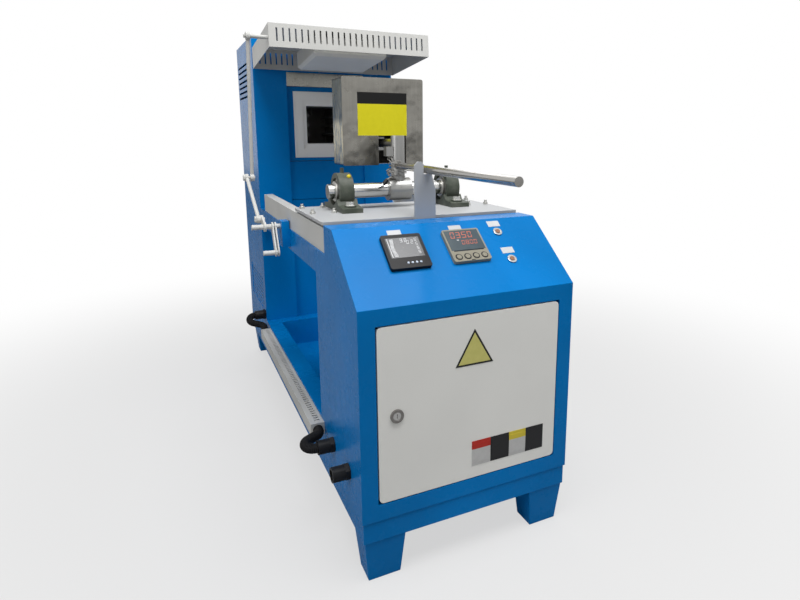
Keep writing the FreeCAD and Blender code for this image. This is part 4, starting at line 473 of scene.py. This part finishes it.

# %% [markdown]
# Every solid first gets the finish of its own material slot, so that nothing is left bare. A few
# differ from their slot, for instance the steel box with its heat tint and painted reflection and
# the lining with its painted shade. Later cells swap most solids for better pieces.

# %% Paint the solids
record = frame["record"]
slot_of = {part["node"]: part["material_slot"] for part in record["subparts"]}
body_of = {node: body for body, group in record["behaviour"]["bodies"].items() for node in group}
special = {"steel_box": "tint_and_reflection", "chamber_lining": "lining", "chamber_fittings": "lining",
           "steel_band": "stainless", "carriage_deck": "deck_paint", "mouth_frame": "frame_paint",
           "panel_labels": "white_label", "caution_plate": "caution", "tilting_arm": "arm_steel",
           "handle_rod": "rod_steel", "box_insulation": "charred", "sample_holder": "charred",
           **{"controller_key_%d" % i: "beige_plastic" for i in range(1, 5)}}


def finish_of(node):
    return finishes[special.get(node, slot_of[node])]


for node, solid in frame["nodes"].items():
    if not solid.material_slots:
        solid.data.materials.append(None)
    for place in solid.material_slots:
        place.material = finish_of(node)
print("painted solids", len(frame["nodes"]))

# %% [markdown]
# Geometry nodes do the work on whole meshes here: they unite sheets into one skin, and they grow
# the ribs of the hoses and the slots of the cable duct. A small class builds such a tree with
# named inputs, sets them by their identifiers and leaves a plain mesh behind.

# %% Grower


def as_plain_mesh(piece):
    """Turn what the modifiers show into the piece's own mesh."""
    bpy.context.view_layer.update()
    seen = piece.evaluated_get(bpy.context.evaluated_depsgraph_get())
    plain = bpy.data.meshes.new_from_object(seen)
    piece.modifiers.clear()
    piece.data = plain
    return piece


class Grower:
    """Geometry node tree with named inputs; keywords name sockets, an underscore for each blank."""

    def __init__(self, name, **kinds):
        self.tree = bpy.data.node_groups.new(name, "GeometryNodeTree")
        for way in ("INPUT", "OUTPUT"):
            self.tree.interface.new_socket("Geometry", in_out=way, socket_type="NodeSocketGeometry")
        self.names = {}
        for word, kind in kinds.items():
            item = self.tree.interface.new_socket(
                word, in_out="INPUT", socket_type="NodeSocket" + kind)
            self.names[word] = item.identifier
        self.given = self.tree.nodes.new("NodeGroupInput").outputs

    def add(self, kind, settings=None, **inputs):
        made = self.tree.nodes.new(kind)
        for word, item in (settings or {}).items():
            setattr(made, word, item)
        for word, item in inputs.items():
            slot = made.inputs[word.replace("_", " ")]
            for one in item if isinstance(item, list) else [item]:
                if isinstance(one, bpy.types.NodeSocket):
                    self.tree.links.new(one, slot)
                else:
                    slot.default_value = one
        return made.outputs

    def finish(self, geometry, finish):
        """End the tree, with one finish on all of it."""
        real = self.add("GeometryNodeRealizeInstances", Geometry=geometry)
        done = self.add("GeometryNodeSetMaterial", Geometry=real[0], Material=finish)
        self.tree.links.new(done[0], self.tree.nodes.new("NodeGroupOutput").inputs[0])

    def grow(self, piece, **amounts):
        """Run the tree on a piece and keep the result as its mesh."""
        modifier = piece.modifiers.new("grow", "NODES")
        modifier.node_group = self.tree
        for word, amount in amounts.items():
            modifier[self.names[word]] = amount
        return as_plain_mesh(piece)


print("grower ready")

# %% [markdown]
# Real sheet metal has no razor edges: a fold has a radius and a cut edge is broken. A solid's mesh
# comes as many triangles. So a copy is made, sheets that touch are melted into one skin, flat faces
# are joined again, and a narrow bevel catches the light along the edges.

# %% Soften a solid
MERGE = 2e-6
FLAT, SHARP, BEVELLED = (math.radians(angle) for angle in (0.6, 30, 32))

melt = Grower("melt_together", Finish="Material")
skin = melt.add("GeometryNodeMeshBoolean", {"operation": "UNION", "solver": "EXACT"},
                Mesh_2=melt.given["Geometry"], Self_Intersection=True)
melt.finish(skin["Mesh"], melt.given["Finish"])


def tidy_faces(piece):
    """Merge doubles, join triangles that lie in one plane and mark sharp edges."""
    work = bmesh.new()
    work.from_mesh(piece.data)
    bmesh.ops.remove_doubles(work, verts=work.verts, dist=MERGE)
    bmesh.ops.dissolve_limit(work, angle_limit=FLAT, verts=work.verts, edges=work.edges)
    for edge in work.edges:
        edge.smooth = len(edge.link_faces) == 2 and edge.calc_face_angle(0.0) < SHARP
    for face in work.faces:
        face.smooth = True
    work.to_mesh(piece.data)
    work.free()


def soften(nodes, width, name=None, united=False, finish=None, segments=2):
    """Bevelled copy of solids of one body, riding with it; width in millimetres.

    United solids become one skin before their edges are rounded.
    """
    nodes = [nodes] if isinstance(nodes, str) else nodes
    name = name or nodes[0] + "_sheet"
    finish = finish or finish_of(nodes[0])
    work = bmesh.new()
    for node in nodes:
        work.from_mesh(frame["nodes"][node].data)
    mesh = bpy.data.meshes.new(name)
    work.to_mesh(mesh)
    work.free()
    mesh.materials.clear()
    mesh.materials.append(finish)
    for face in mesh.polygons:
        face.material_index = 0
    piece = bpy.data.objects.new(name, mesh)
    bpy.context.scene.collection.objects.link(piece)
    if united:
        melt.grow(piece, Finish=finish)
    tidy_faces(piece)
    bevel = piece.modifiers.new("bevel", "BEVEL")
    bevel.width = width / 1000
    bevel.segments = segments
    bevel.limit_method = "ANGLE"
    bevel.angle_limit = BEVELLED
    bevel.use_clamp_overlap = True
    bevel.harden_normals = True
    as_plain_mesh(piece)
    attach(piece, body_of[nodes[0]])
    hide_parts(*nodes)
    return piece


print("soften is ready")

# %% [markdown]
# The body is folded sheet welded at its corners, so the sheets that touch are united into one skin
# before their edges are rounded. Console, frames and cabinet stay separate skins, as on the real
# machine, where a fine joint shows between them.

# %% Blue body
for solids, width, name, segments in (
        (["console_housing", "console_sides", "console_front"], 1.6, "console_skin", 3),
        (["base_frame"], 1.4, "base_and_legs", 2), (["side_frames"], 1.2, "side_frames_skin", 2),
        (["furnace_cabinet"], 1.4, "cabinet_skin", 2)):
    soften(solids, width, name, united=True, segments=segments)
soften("front_panels", 0.5, "cabinet_front_panels")

# %% [markdown]
# Doors, covers, castings and housings get their own small radii: a moulded bezel is rounder than a
# sawn plate, and a casting rounder still. The rails and the door linkage are painted off-white.

# %% Other sheets, castings and housings
white = finishes["white_paint"]
rails = soften("carriage_rails", 0.8, "carriage_rail_channels", united=True, finish=white)
for node, width in (
        ("console_door", 1.2), ("carriage_deck", 0.8), ("furnace_flap", 0.5), ("flap_plug", 1.5),
        ("mouth_frame", 1.2), ("steel_box", 1.0), ("cable_trunking", 0.6),
        ("controller_housing", 1.2), ("meter_housing", 1.2), ("bearing_blocks", 2.0),
        ("bearing_inserts", 0.8), ("tilt_shaft", 1.2), ("tilting_arm", 0.6),
        ("carriage_bolts", 0.5), ("roller_brackets", 0.6), ("steel_band", 0.5),
        ("cable_glands", 1.0), ("lock_housing", 0.6), ("lock_core", 0.4), ("button_bodies", 0.6),
        ("push_button_upper", 0.8), ("push_button_lower", 0.8), ("box_insulation", 2.0)):
    soften(node, width)
for corner in ("left_front", "left_rear", "right_front", "right_rear"):
    soften("roller_" + corner, 1.0)
for node in ("link_rod", "lever_arm"):
    soften(node, 0.8, finish=white)

# %% [markdown]
# Many small parts are made from a few flat outlines or simple turned shapes. These helpers write a
# mesh straight from points: blocks with four sides for digits, marks and rings, and rings of points
# joined into a skin for turned and bent parts.

# %% Small mesh helpers
SKEW = Vector((0.31, 0.17, 0.93))


def piece_from(name, points, faces, finish, body, smooth=False):
    """Mesh piece from points in metres, riding on a body."""
    mesh = bpy.data.meshes.new(name)
    mesh.from_pydata([tuple(p) for p in points], [], faces)
    mesh.materials.append(finish)
    piece = bpy.data.objects.new(name, mesh)
    bpy.context.scene.collection.objects.link(piece)
    work = bmesh.new()
    work.from_mesh(mesh)
    bmesh.ops.recalc_face_normals(work, faces=work.faces)
    for face in work.faces:
        face.smooth = smooth
    work.to_mesh(mesh)
    work.free()
    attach(piece, body)
    return piece


def blocks(name, corners, finish, body):
    """Many small four-sided blocks, each given as four low and four high corners."""
    points, faces = [], []
    for low, high in corners:
        n = len(points)
        points += list(low) + list(high)
        faces += [(n, n + 1, n + 2, n + 3), (n + 4, n + 5, n + 6, n + 7)]
        faces += [(n + i, n + (i + 1) % 4, n + 4 + (i + 1) % 4, n + 4 + i) for i in range(4)]
    return piece_from(name, points, faces, finish, body)


def rectangle(left, top, right, bottom):
    """Outline of a rectangle across and down the slope."""
    return [(left, top), (right, top), (right, bottom), (left, bottom)]


def on_panel(outline, low, high):
    """A flat outline of four points across and down the slope, as a block."""
    return ([panel_at(x, d, low) for x, d in outline], [panel_at(x, d, high) for x, d in outline])


def swept(name, line, radius, finish, body, sides=12):
    """Round bar along a line of points, with closed ends.

    Its rings are set up against a direction that no line here follows.
    """
    rings, points, faces = [], [], []
    for i, spot in enumerate(line):
        before, after = line[max(i - 1, 0)], line[min(i + 1, len(line) - 1)]
        run = (after - before).normalized()
        side = run.cross(SKEW).normalized()
        up = run.cross(side)
        size = radius[i] if isinstance(radius, list) else radius
        for k in range(sides):
            a = 2 * math.pi * k / sides
            points.append(spot + side * (size * math.cos(a)) + up * (size * math.sin(a)))
        rings.append(i * sides)
    for a, b in zip(rings, rings[1:]):
        faces += [(a + k, a + (k + 1) % sides, b + (k + 1) % sides, b + k) for k in range(sides)]
    faces += [tuple(range(sides)), tuple(range(rings[-1], rings[-1] + sides))]
    piece = piece_from(name, points, faces, finish, body, smooth=True)
    for edge in piece.data.edges:
        a, b = (v // sides for v in edge.vertices)
        edge.use_edge_sharp = a == b and a in (0, len(line) - 1)
    return piece


print("mesh helpers ready")

# %% [markdown]
# Behind the glass of the instruments there are dim red digits, a slate blue window, a grey
# liquid-crystal field and pale marks. Only the digits glow, and so little that they look as in
# daylight. The other three are plain stuffs again.

# %% Display finishes
glow = Recipe("dim_red_segments", Specular_IOR_Level=0.4, Emission_Strength=0.35)
flicker = glow.spread(300.0, 2.0, 0.5)
finishes["segments"] = glow.finish(
    Base_Color=glow.mix(flicker, (0.30, 0.06, 0.03), (0.42, 0.10, 0.05)),
    Emission_Color=glow.mix(flicker, (0.55, 0.09, 0.03), (0.75, 0.14, 0.05)),
    Roughness=flicker * 0.1 + 0.3)
finishes["marks"] = clouded(
    "pale_display_marks", 0.4, 400.0, (0.42, 0.43, 0.45), (0.66, 0.67, 0.68), 0.3, 0.2, 3.0)
finishes["slate"] = clouded(
    "slate_blue_window", 0.35, 60.0, (0.035, 0.055, 0.07), (0.055, 0.085, 0.10), 0.15, 0.1)
finishes["lcd"] = clouded(
    "grey_liquid_crystal", 0.5, 90.0, (0.05, 0.053, 0.058), (0.075, 0.078, 0.084), 0.18, 0.15)
print("finishes with the displays", len(finishes))

# %% [markdown]
# A display writes its figures with seven segments, named a to g from the top round to the middle.
# Each segment is a slim four-sided outline, and a word of letters says which ones a figure lights.
# Real figures lean to the right, so every outline is sheared a little.

# %% Digits
SEGMENTS = {"0": "abcdef", "2": "abged", "3": "abgcd", "5": "afgcd", "8": "abcdefg"}
LEAN, GAP = 0.12, 0.12


def digit(figure, left, top, wide, high, line):
    """Outlines of the lit segments of one figure, leaning a little."""
    half = high / 2
    spans = {"a": (0, 0, wide, line), "g": (0, half - line / 2, wide, half + line / 2),
             "d": (0, high - line, wide, high), "f": (0, line, line, half - line / 2),
             "b": (wide - line, line, wide, half - line / 2),
             "e": (0, half + line / 2, line, high - line),
             "c": (wide - line, half + line / 2, wide, high - line)}
    gap = line * GAP
    found = []
    for word in SEGMENTS[figure]:
        x0, y0, x1, y1 = spans[word]
        upper, lower = ((half - y) * LEAN for y in (y0, y1))
        found.append([
            (left + x0 + gap + upper, top + y0 + gap), (left + x1 - gap + upper, top + y0 + gap),
            (left + x1 - gap + lower, top + y1 - gap), (left + x0 + gap + lower, top + y1 - gap)])
    return found


print("an eight has", len(digit("8", 0, 0, 11.0, 19.0, 2.4)), "segments")

# %% [markdown]
# The controller shows two rows of digits, four large ones over four small ones. The rows stand in a
# slate blue window, which has to lie in front of the housing and of the solid's own glass, so both
# are measured on the solids first.

# %% Controller display


def on_slope(node):
    """Middle of a solid across and down the slope, and how far it stands out."""
    top_edge = Vector((0, SLOPE_RUN, TOP_Z))
    seen = [v.co * 1000 - MIDDLE - top_edge for v in frame["nodes"][node].data.vertices]
    across = [s.x for s in seen]
    down = [-s.dot(SLOPE_UP) for s in seen]
    out = [s.dot(SLOPE_OUT) for s in seen]
    return (min(across) + max(across)) / 2, (min(down) + max(down)) / 2, max(out)


screen_out = on_slope("instrument_screens")[2]
face_out = on_slope("controller_housing")[2]
glass_out = max(face_out, screen_out) + 0.25
blocks("controller_glass", [on_panel(rectangle(-10.5, 38, 77.5, 98), screen_out - 0.5, glass_out)],
       finishes["slate"], "frame")
figures = []
for i, figure in enumerate("0350"):
    figures += digit(figure, 2.0 + i * 15.0, 43.0, 11.0, 19.0, 2.4)
for i, figure in enumerate("0800"):
    figures += digit(figure, 24.0 + i * 10.6, 69.0, 7.8, 13.0, 1.7)
blocks("controller_digits", [on_panel(f, glass_out - 0.2, glass_out + 0.12) for f in figures],
       finishes["segments"], "frame")
print("glass stands", round(screen_out, 2), "mm off the slope; lit segments", len(figures))

# %% [markdown]
# The meter beside it has a grey liquid-crystal field with a scale at the left and scattered pale
# marks. A pale rectangle, a ladder of short bars and a few generic figures give that look.

# %% Meter display
METER_LEFT, BARS, BAR_PITCH = -166.0, 14, 3.6
meter_out = max(on_slope("meter_housing")[2], screen_out) + 0.2
field = rectangle(METER_LEFT + 9, 46, METER_LEFT + 88, 103)
marks = [rectangle(METER_LEFT + 12, 48, METER_LEFT + 13.5, 101)]
for i in range(BARS):
    x = METER_LEFT + 15 + 0.5 * abs(BARS // 2 - i)
    marks.append(rectangle(x, 50 + i * BAR_PITCH, x + 8, 52 + i * BAR_PITCH))
for i, figure in enumerate("3802"):
    column, row = i % 2, i // 2
    marks += digit(figure, METER_LEFT + 42 + column * 10 + row * 14, 49 + row * 6, 6.0, 11.0, 1.6)
for i in range(4):
    marks += digit("5", METER_LEFT + 76, 50 + i * 12, 5.6, 9.0, 1.4)
blocks("meter_field", [on_panel(field, screen_out - 0.5, meter_out)],
       finishes["lcd"], "frame")
blocks("meter_marks", [on_panel(m, meter_out - 0.2, meter_out + 0.1) for m in marks],
       finishes["marks"], "frame")
print("display marks", len(marks))

# %% [markdown]
# The corrugated hoses run from the ends of the cable duct into the glands. Real hose is moulded
# with rings so that it bends without kinking. Here a smooth tube is swept along a middle line and a
# ring is set on it at an even pitch, by nodes, because the rings are all alike and follow a path.

# %% Ribbed hoses
hose = Grower("ribbed_hose", Pitch="Float", Core="Float", Ring="Float", Bead="Float")
curve = hose.add("GeometryNodeMeshToCurve", Mesh=hose.given["Geometry"])[0]
disc = hose.add("GeometryNodeCurvePrimitiveCircle", Resolution=20, Radius=hose.given["Core"])[0]
tube = hose.add("GeometryNodeCurveToMesh", Curve=curve, Profile_Curve=disc, Fill_Caps=True)[0]
spots = hose.add("GeometryNodeCurveToPoints", {"mode": "LENGTH"}, Curve=curve,
                 Length=hose.given["Pitch"])
turned = hose.add("FunctionNodeAlignRotationToVector", {"axis": "Z"}, Vector=spots["Tangent"])[0]
loop = hose.add("GeometryNodeCurvePrimitiveCircle", Resolution=20, Radius=hose.given["Ring"])[0]
bead = hose.add("GeometryNodeCurvePrimitiveCircle", Resolution=8, Radius=hose.given["Bead"])[0]
rib = hose.add("GeometryNodeCurveToMesh", Curve=loop, Profile_Curve=bead)[0]
ribs = hose.add("GeometryNodeInstanceOnPoints", Points=spots["Points"], Instance=rib,
                Rotation=turned)[0]
both = hose.add("GeometryNodeJoinGeometry", Geometry=[tube, ribs])[0]
hose.finish(hose.add("GeometryNodeSetShadeSmooth", Geometry=both)[0], finishes["black_rubber"])
print("hose tree has", len(hose.tree.nodes), "nodes")

# %% [markdown]
# The tree needs a middle line to grow along. The solid's own measures give it: the radius of its
# bends, how far it swings out, and the straight part between the two arcs.

# %% Middle lines of the hoses
BEND, SWING, STRAIGHT, GLAND_X = 24.0, math.radians(60.0), 25.98, -300


def line_piece(name, spots):
    """Object with nothing but a line of points, ready for a grower."""
    mesh = bpy.data.meshes.new(name)
    mesh.from_pydata([tuple(s) for s in spots], [(i, i + 1) for i in range(len(spots) - 1)], [])
    piece = bpy.data.objects.new(name, mesh)
    bpy.context.scene.collection.objects.link(piece)
    return piece


def hose_line(start, run, first):
    """Middle line of a hose: out of the duct, away from the machine and back into its gland."""
    out, spots = Vector((-1, 0, 0)), [start]
    centre = start + run * first + out * BEND
    for i in range(13):
        a = SWING * i / 12
        spots.append(centre + (out * -math.cos(a) + run * math.sin(a)) * BEND)
    away = out * math.sin(SWING) + run * math.cos(SWING)
    turn = spots[-1] + away * STRAIGHT
    middle = turn + (run * math.sin(SWING) - out * math.cos(SWING)) * BEND
    for i in range(25):
        a = SWING + (-math.pi / 2 - SWING) * i / 24
        spots.append(middle + (out * math.cos(a) - run * math.sin(a)) * BEND)
    spots.append(Vector((GLAND_X, spots[-1].y, spots[-1].z)))
    return [at(*s) for s in spots]


rear_run = Vector((0.0, 100.0, 44.0)).normalized()
for word, line in (
        ("front", hose_line(Vector((-282.5, 302, 228)), Vector((0, -1, 0)), 8.44)),
        ("rear", hose_line(Vector((-282.5, 1100, 228)), rear_run, 30.69))):
    piece = hose.grow(line_piece("hose_" + word, line),
                      Pitch=0.0031, Core=0.0112, Ring=0.0113, Bead=0.0012)
    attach(piece, "frame")
    if word == "rear":
        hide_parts("conduits")
    print(word, "hose", len(piece.data.polygons), "faces")

# %% [markdown]
# The cable duct is the slotted kind that wires can leave anywhere. A row of small blocks is grown
# along it and cut out of the bevelled duct, so the slots are real openings.

# %% Slotted cable duct
slots = Grower("slotted_duct", Count="Int", First="Vector", Step="Vector", Size="Vector")
row = slots.add("GeometryNodeMeshLine", Count=slots.given["Count"],
                Start_Location=slots.given["First"], Offset=slots.given["Step"])[0]
brick = slots.add("GeometryNodeMeshCube", Size=slots.given["Size"])[0]
wall = slots.add("GeometryNodeInstanceOnPoints", Points=row, Instance=brick)[0]
wall = slots.add("GeometryNodeRealizeInstances", Geometry=wall)[0]
cut = slots.add("GeometryNodeMeshBoolean", {"operation": "DIFFERENCE", "solver": "EXACT"},
                Mesh_1=slots.given["Geometry"], Mesh_2=wall)
slots.finish(cut["Mesh"], finishes["grey_plastic"])
duct = bpy.data.objects["cable_trunking_sheet"]
slots.grow(duct, Count=59, First=at(-280, 320, 244), Step=Vector((0, 0.0131, 0)),
           Size=Vector((0.013, 0.005, 0.006)))
print("duct faces", len(duct.data.polygons))

# %% [markdown]
# Small fittings on the panel: a ring round each key of the controller, a white lamp between its two
# rows of digits and a thin black block as the painted shade of a notch in its lower edge.

# %% Panel fittings
RING_IN, RING_OUT, STEPS = 6.2, 8.8, 24
sectors = []
for i in range(1, 5):
    across, down, _ = on_slope("controller_key_%d" % i)
    for k in range(STEPS):
        a, b = 2 * math.pi * k / STEPS, 2 * math.pi * (k + 1) / STEPS
        sectors.append([(across + r * math.cos(t), down + r * math.sin(t))
                        for r, t in ((RING_IN, a), (RING_OUT, a), (RING_OUT, b), (RING_IN, b))])
blocks("controller_key_rings", [on_panel(s, face_out - 1.0, face_out + 0.35) for s in sectors],
       finishes["black_plastic"], "frame")
# Painted shade: a thin black block stands in for the dark of the notch.
notch_x = on_slope("controller_housing")[0]
notch_shade = rectangle(notch_x - 5, 127.2, notch_x + 5, 129.4)
blocks("controller_notch", [on_panel(notch_shade, face_out - 3.0, face_out + 0.15)],
       finishes["black_plastic"], "frame")
lamp_spot = rectangle(14, 66.5, 19, 69.0)
blocks("controller_lamp", [on_panel(lamp_spot, glass_out - 0.2, glass_out + 0.12)],
       finishes["marks"], "frame")
print("controller stands", round(face_out, 2), "mm out; blocks in its key rings", len(sectors))

# %% [markdown]
# The mouth frame is two nested mouldings. The inner one lies three millimetres deeper, with mitre
# lines at its corners, and a fine groove runs round the outer one, as bent strips would show them.

# %% Mouth frame groove
CORNERS = ((-1, -1), (1, -1), (1, 1), (-1, 1))
STEP, STEP_DEPTH = 0.09, 0.003
REACH, GROOVE_HALF, GROOVE_DEPTH = 0.116, 0.0007, 0.0022
MITRE_IN, MITRE_OUT, MITRE_HALF, MITRE_DEPTH = 0.0745, 0.0885, 0.0004, 0.0042
face_y, middle_x, middle_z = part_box("mouth_frame")[0][1], at(0, 0, 0).x, at(0, 0, 1000).z


def into_face(outline, depth):
    """Block from just before the frame's face to a depth behind it."""
    return ([(x, face_y - 0.001, z) for x, z in outline],
            [(x, face_y + depth, z) for x, z in outline])


cuts = [into_face([(middle_x + STEP * a, middle_z + STEP * b) for a, b in CORNERS], STEP_DEPTH)]
for a, b in CORNERS:
    if a == b:
        x, z, wide, high = 0, REACH * b, REACH + GROOVE_HALF, GROOVE_HALF
    else:
        x, z, wide, high = REACH * a, 0, GROOVE_HALF, REACH + GROOVE_HALF
    cuts.append(into_face([(middle_x + x + c * wide, middle_z + z + d * high) for c, d in CORNERS],
                          GROOVE_DEPTH))
for a, b in CORNERS:
    near = (middle_x + a * MITRE_IN, middle_z + b * MITRE_IN * 70 / 75)
    far = (middle_x + a * MITRE_OUT, middle_z + b * MITRE_OUT)
    mitre = [(spot[0] - c * MITRE_HALF * b, spot[1] + c * MITRE_HALF * a)
             for spot, c in ((near, 1), (far, 1), (far, -1), (near, -1))]
    cuts.append(into_face(mitre, MITRE_DEPTH))
cutter = blocks("groove_cutter", cuts, finishes["frame_paint"], "frame")
moulding = bpy.data.objects["mouth_frame_sheet"]
groove = moulding.modifiers.new("groove", "BOOLEAN")
groove.operation, groove.solver, groove.use_self = "DIFFERENCE", "EXACT", True
groove.object = cutter
as_plain_mesh(moulding)
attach(moulding, "frame")
bpy.data.objects.remove(cutter)
print("mouth frame faces", len(moulding.data.polygons))

# %% [markdown]
# The left bearing is greased through a nipple under a yellow cap, a soft moulded dome on the round
# edge of its housing.

# %% Grease cap
cap_paint = matt("yellow_cap_plastic", (0.62, 0.50, 0.03), 0.4, 300.0, 0.00003, 0.1)
lean = math.radians(35)
outwards = Vector((0, -math.sin(lean), math.cos(lean)))
foot = Vector((-145, 457, 815)) + outwards * 48
swept("grease_cap", [at(*(foot + outwards * step)) for step in (0, 4, 5.6, 6.4)],
      [0.0055, 0.0052, 0.0038, 0.0014], cap_paint, "carriage", sides=20)
print("grease cap on the left bearing")

# %% [markdown]
# Thermocouple leads leave the arm at its foot and are coiled up round it, ending in a small plug
# with a bright tip. Each lead starts and ends on the arm, so it turns with the holder.

# %% Thermocouple leads
finishes["sheath"] = clouded(
    "glass_fibre_sheath", 0.4, 500.0, (0.16, 0.155, 0.14), (0.42, 0.41, 0.39), 0.55, 0.2, 3.0)
ARM_X, ARM_Y, ARM_RADIUS, SPOTS = 5, 457, 18, 61
COILS = ((838, 900, 24, 21, 2.4), (842, 915, 30, 24, 1.6), (846, 885, 27, 27, 3.2),
         (850, 928, 22, 22, 1.9))
draw = np.random.default_rng(7)
for number, (low, high, wide, deep, turns) in enumerate(COILS):
    phase = draw.uniform(0, 6.28)
    wobble = draw.uniform(2.0, 6.0, 3)
    line = []
    for i in range(SPOTS):
        s = i / (SPOTS - 1)
        a = phase + turns * 2 * math.pi * s
        swell = math.sin(math.pi * s)
        reach = 1 + 0.35 * swell * math.sin(3 * a + phase)
        across = ARM_RADIUS + (wide - ARM_RADIUS) * swell * reach
        inwards = ARM_RADIUS + (deep - ARM_RADIUS) * swell
        line.append(at(ARM_X + across * math.cos(a) - wobble[0] * swell,
                       ARM_Y - inwards * math.sin(a),
                       low + (high - low) * s + wobble[1] * math.sin(5 * a) * swell))
    swept("lead_%d" % number, line, 0.0013, finishes["sheath"], "holder", sides=8)
tail = [at(-12, 448, 846), at(-22, 438, 850), at(-32, 430, 848), at(-41, 427, 841)]
swept("lead_tail", tail, 0.0014, finishes["sheath"], "holder", sides=8)
swept("lead_plug", [at(-38, 428, 843), at(-41, 427, 840.5), at(-51, 424, 832)],
      [0.0052, 0.006, 0.0052], finishes["black_plastic"], "holder")
swept("lead_tip", [at(-50, 424.3, 833), at(-57, 422, 827)],
      [0.0034, 0.0028], finishes["bright_steel"], "holder")
print("leads made")

# %% [markdown]
# The pale floor keeps the machine's shadow, and further out it fades to plain white for the camera,
# so that no horizon shows. A white world gives the even studio light, weaker on the machine than
# it looks. Three large soft lamps shape the faces: one from above in front, one from the left and
# one from behind.

# %% Floor, world and lamps
floor = bpy.data.objects.new("floor", bpy.data.meshes.new("floor"))
work = bmesh.new()
bmesh.ops.create_grid(work, x_segments=2, y_segments=2, size=14.0)
work.to_mesh(floor.data)
work.free()
bpy.context.scene.collection.objects.link(floor)
pale = Recipe("pale_floor", Specular_IOR_Level=0.2)
tint = pale.spread(0.6, 2.0, 0.5)
pale.finish(Base_Color=pale.mix(tint, (0.38, 0.38, 0.38), (0.42, 0.42, 0.42)),
            Roughness=tint * 0.1 + 0.6)
away = (pale.x * pale.x + pale.y * pale.y) ** 0.5
share = away.ramp(0.7, 2.6, 0.62, 1.0) * pale.node("ShaderNodeLightPath")
glow_floor = pale.node("ShaderNodeEmission", {}, {"Color": (1.0, 1.0, 1.0), "Strength": 1.0})
surface = Wire(pale, pale.shader.outputs[0])
blend = pale.node("ShaderNodeMixShader", {}, {0: share, 1: surface, 2: glow_floor})
pale.tree.links.new(blend.socket, pale.tree.nodes["Material Output"].inputs[0])
floor.data.materials.append(pale.material)
floor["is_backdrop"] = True

world = bpy.data.worlds.new("studio")
world.use_nodes = True
bpy.context.scene.world = world
tree = world.node_tree
back = tree.nodes["Background"]
back.inputs["Color"].default_value = (1.0, 1.0, 1.0, 1.0)
path = tree.nodes.new("ShaderNodeLightPath")
seen = path.outputs["Is Camera Ray"]
for ray in ("Is Glossy Ray", "Is Transmission Ray"):
    either = tree.nodes.new("ShaderNodeMath")
    either.operation = "MAXIMUM"
    tree.links.new(seen, either.inputs[0])
    tree.links.new(path.outputs[ray], either.inputs[1])
    seen = either.outputs[0]
level = tree.nodes.new("ShaderNodeMapRange")
tree.links.new(seen, level.inputs["Value"])
level.inputs["To Min"].default_value = 0.26
level.inputs["To Max"].default_value = 1.0
tree.links.new(level.outputs[0], back.inputs["Strength"])


def lamp(name, place, aim, size, power):
    light = bpy.data.objects.new(name, bpy.data.lights.new(name, "AREA"))
    light.data.shape = "RECTANGLE"
    light.data.size, light.data.size_y = size
    light.data.energy = power
    light.location = Vector(place)
    light.rotation_euler = (Vector(aim) - Vector(place)).to_track_quat("-Z", "Y").to_euler()
    bpy.context.scene.collection.objects.link(light)


lamp("from_above", (0.1, -1.3, 3.6), (0.1, -0.3, 0.6), (2.6, 1.8), 128)
lamp("from_left", (-3.2, -1.2, 1.8), (0.0, -0.3, 0.6), (1.6, 1.6), 26)
lamp("from_behind", (0.8, 3.0, 2.6), (0.0, 0.3, 0.8), (2.0, 1.4), 20)
bpy.context.scene.view_settings.view_transform = "Standard"
print("stage is set")

# %% [markdown]
# The last step compares the dressed machine with the box of the solids.

# %% Sizes
low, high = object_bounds()
print("grew by", [round(a - b, 4) for a, b in zip(cad_low, low)],
      [round(b - a, 4) for a, b in zip(cad_high, high)])
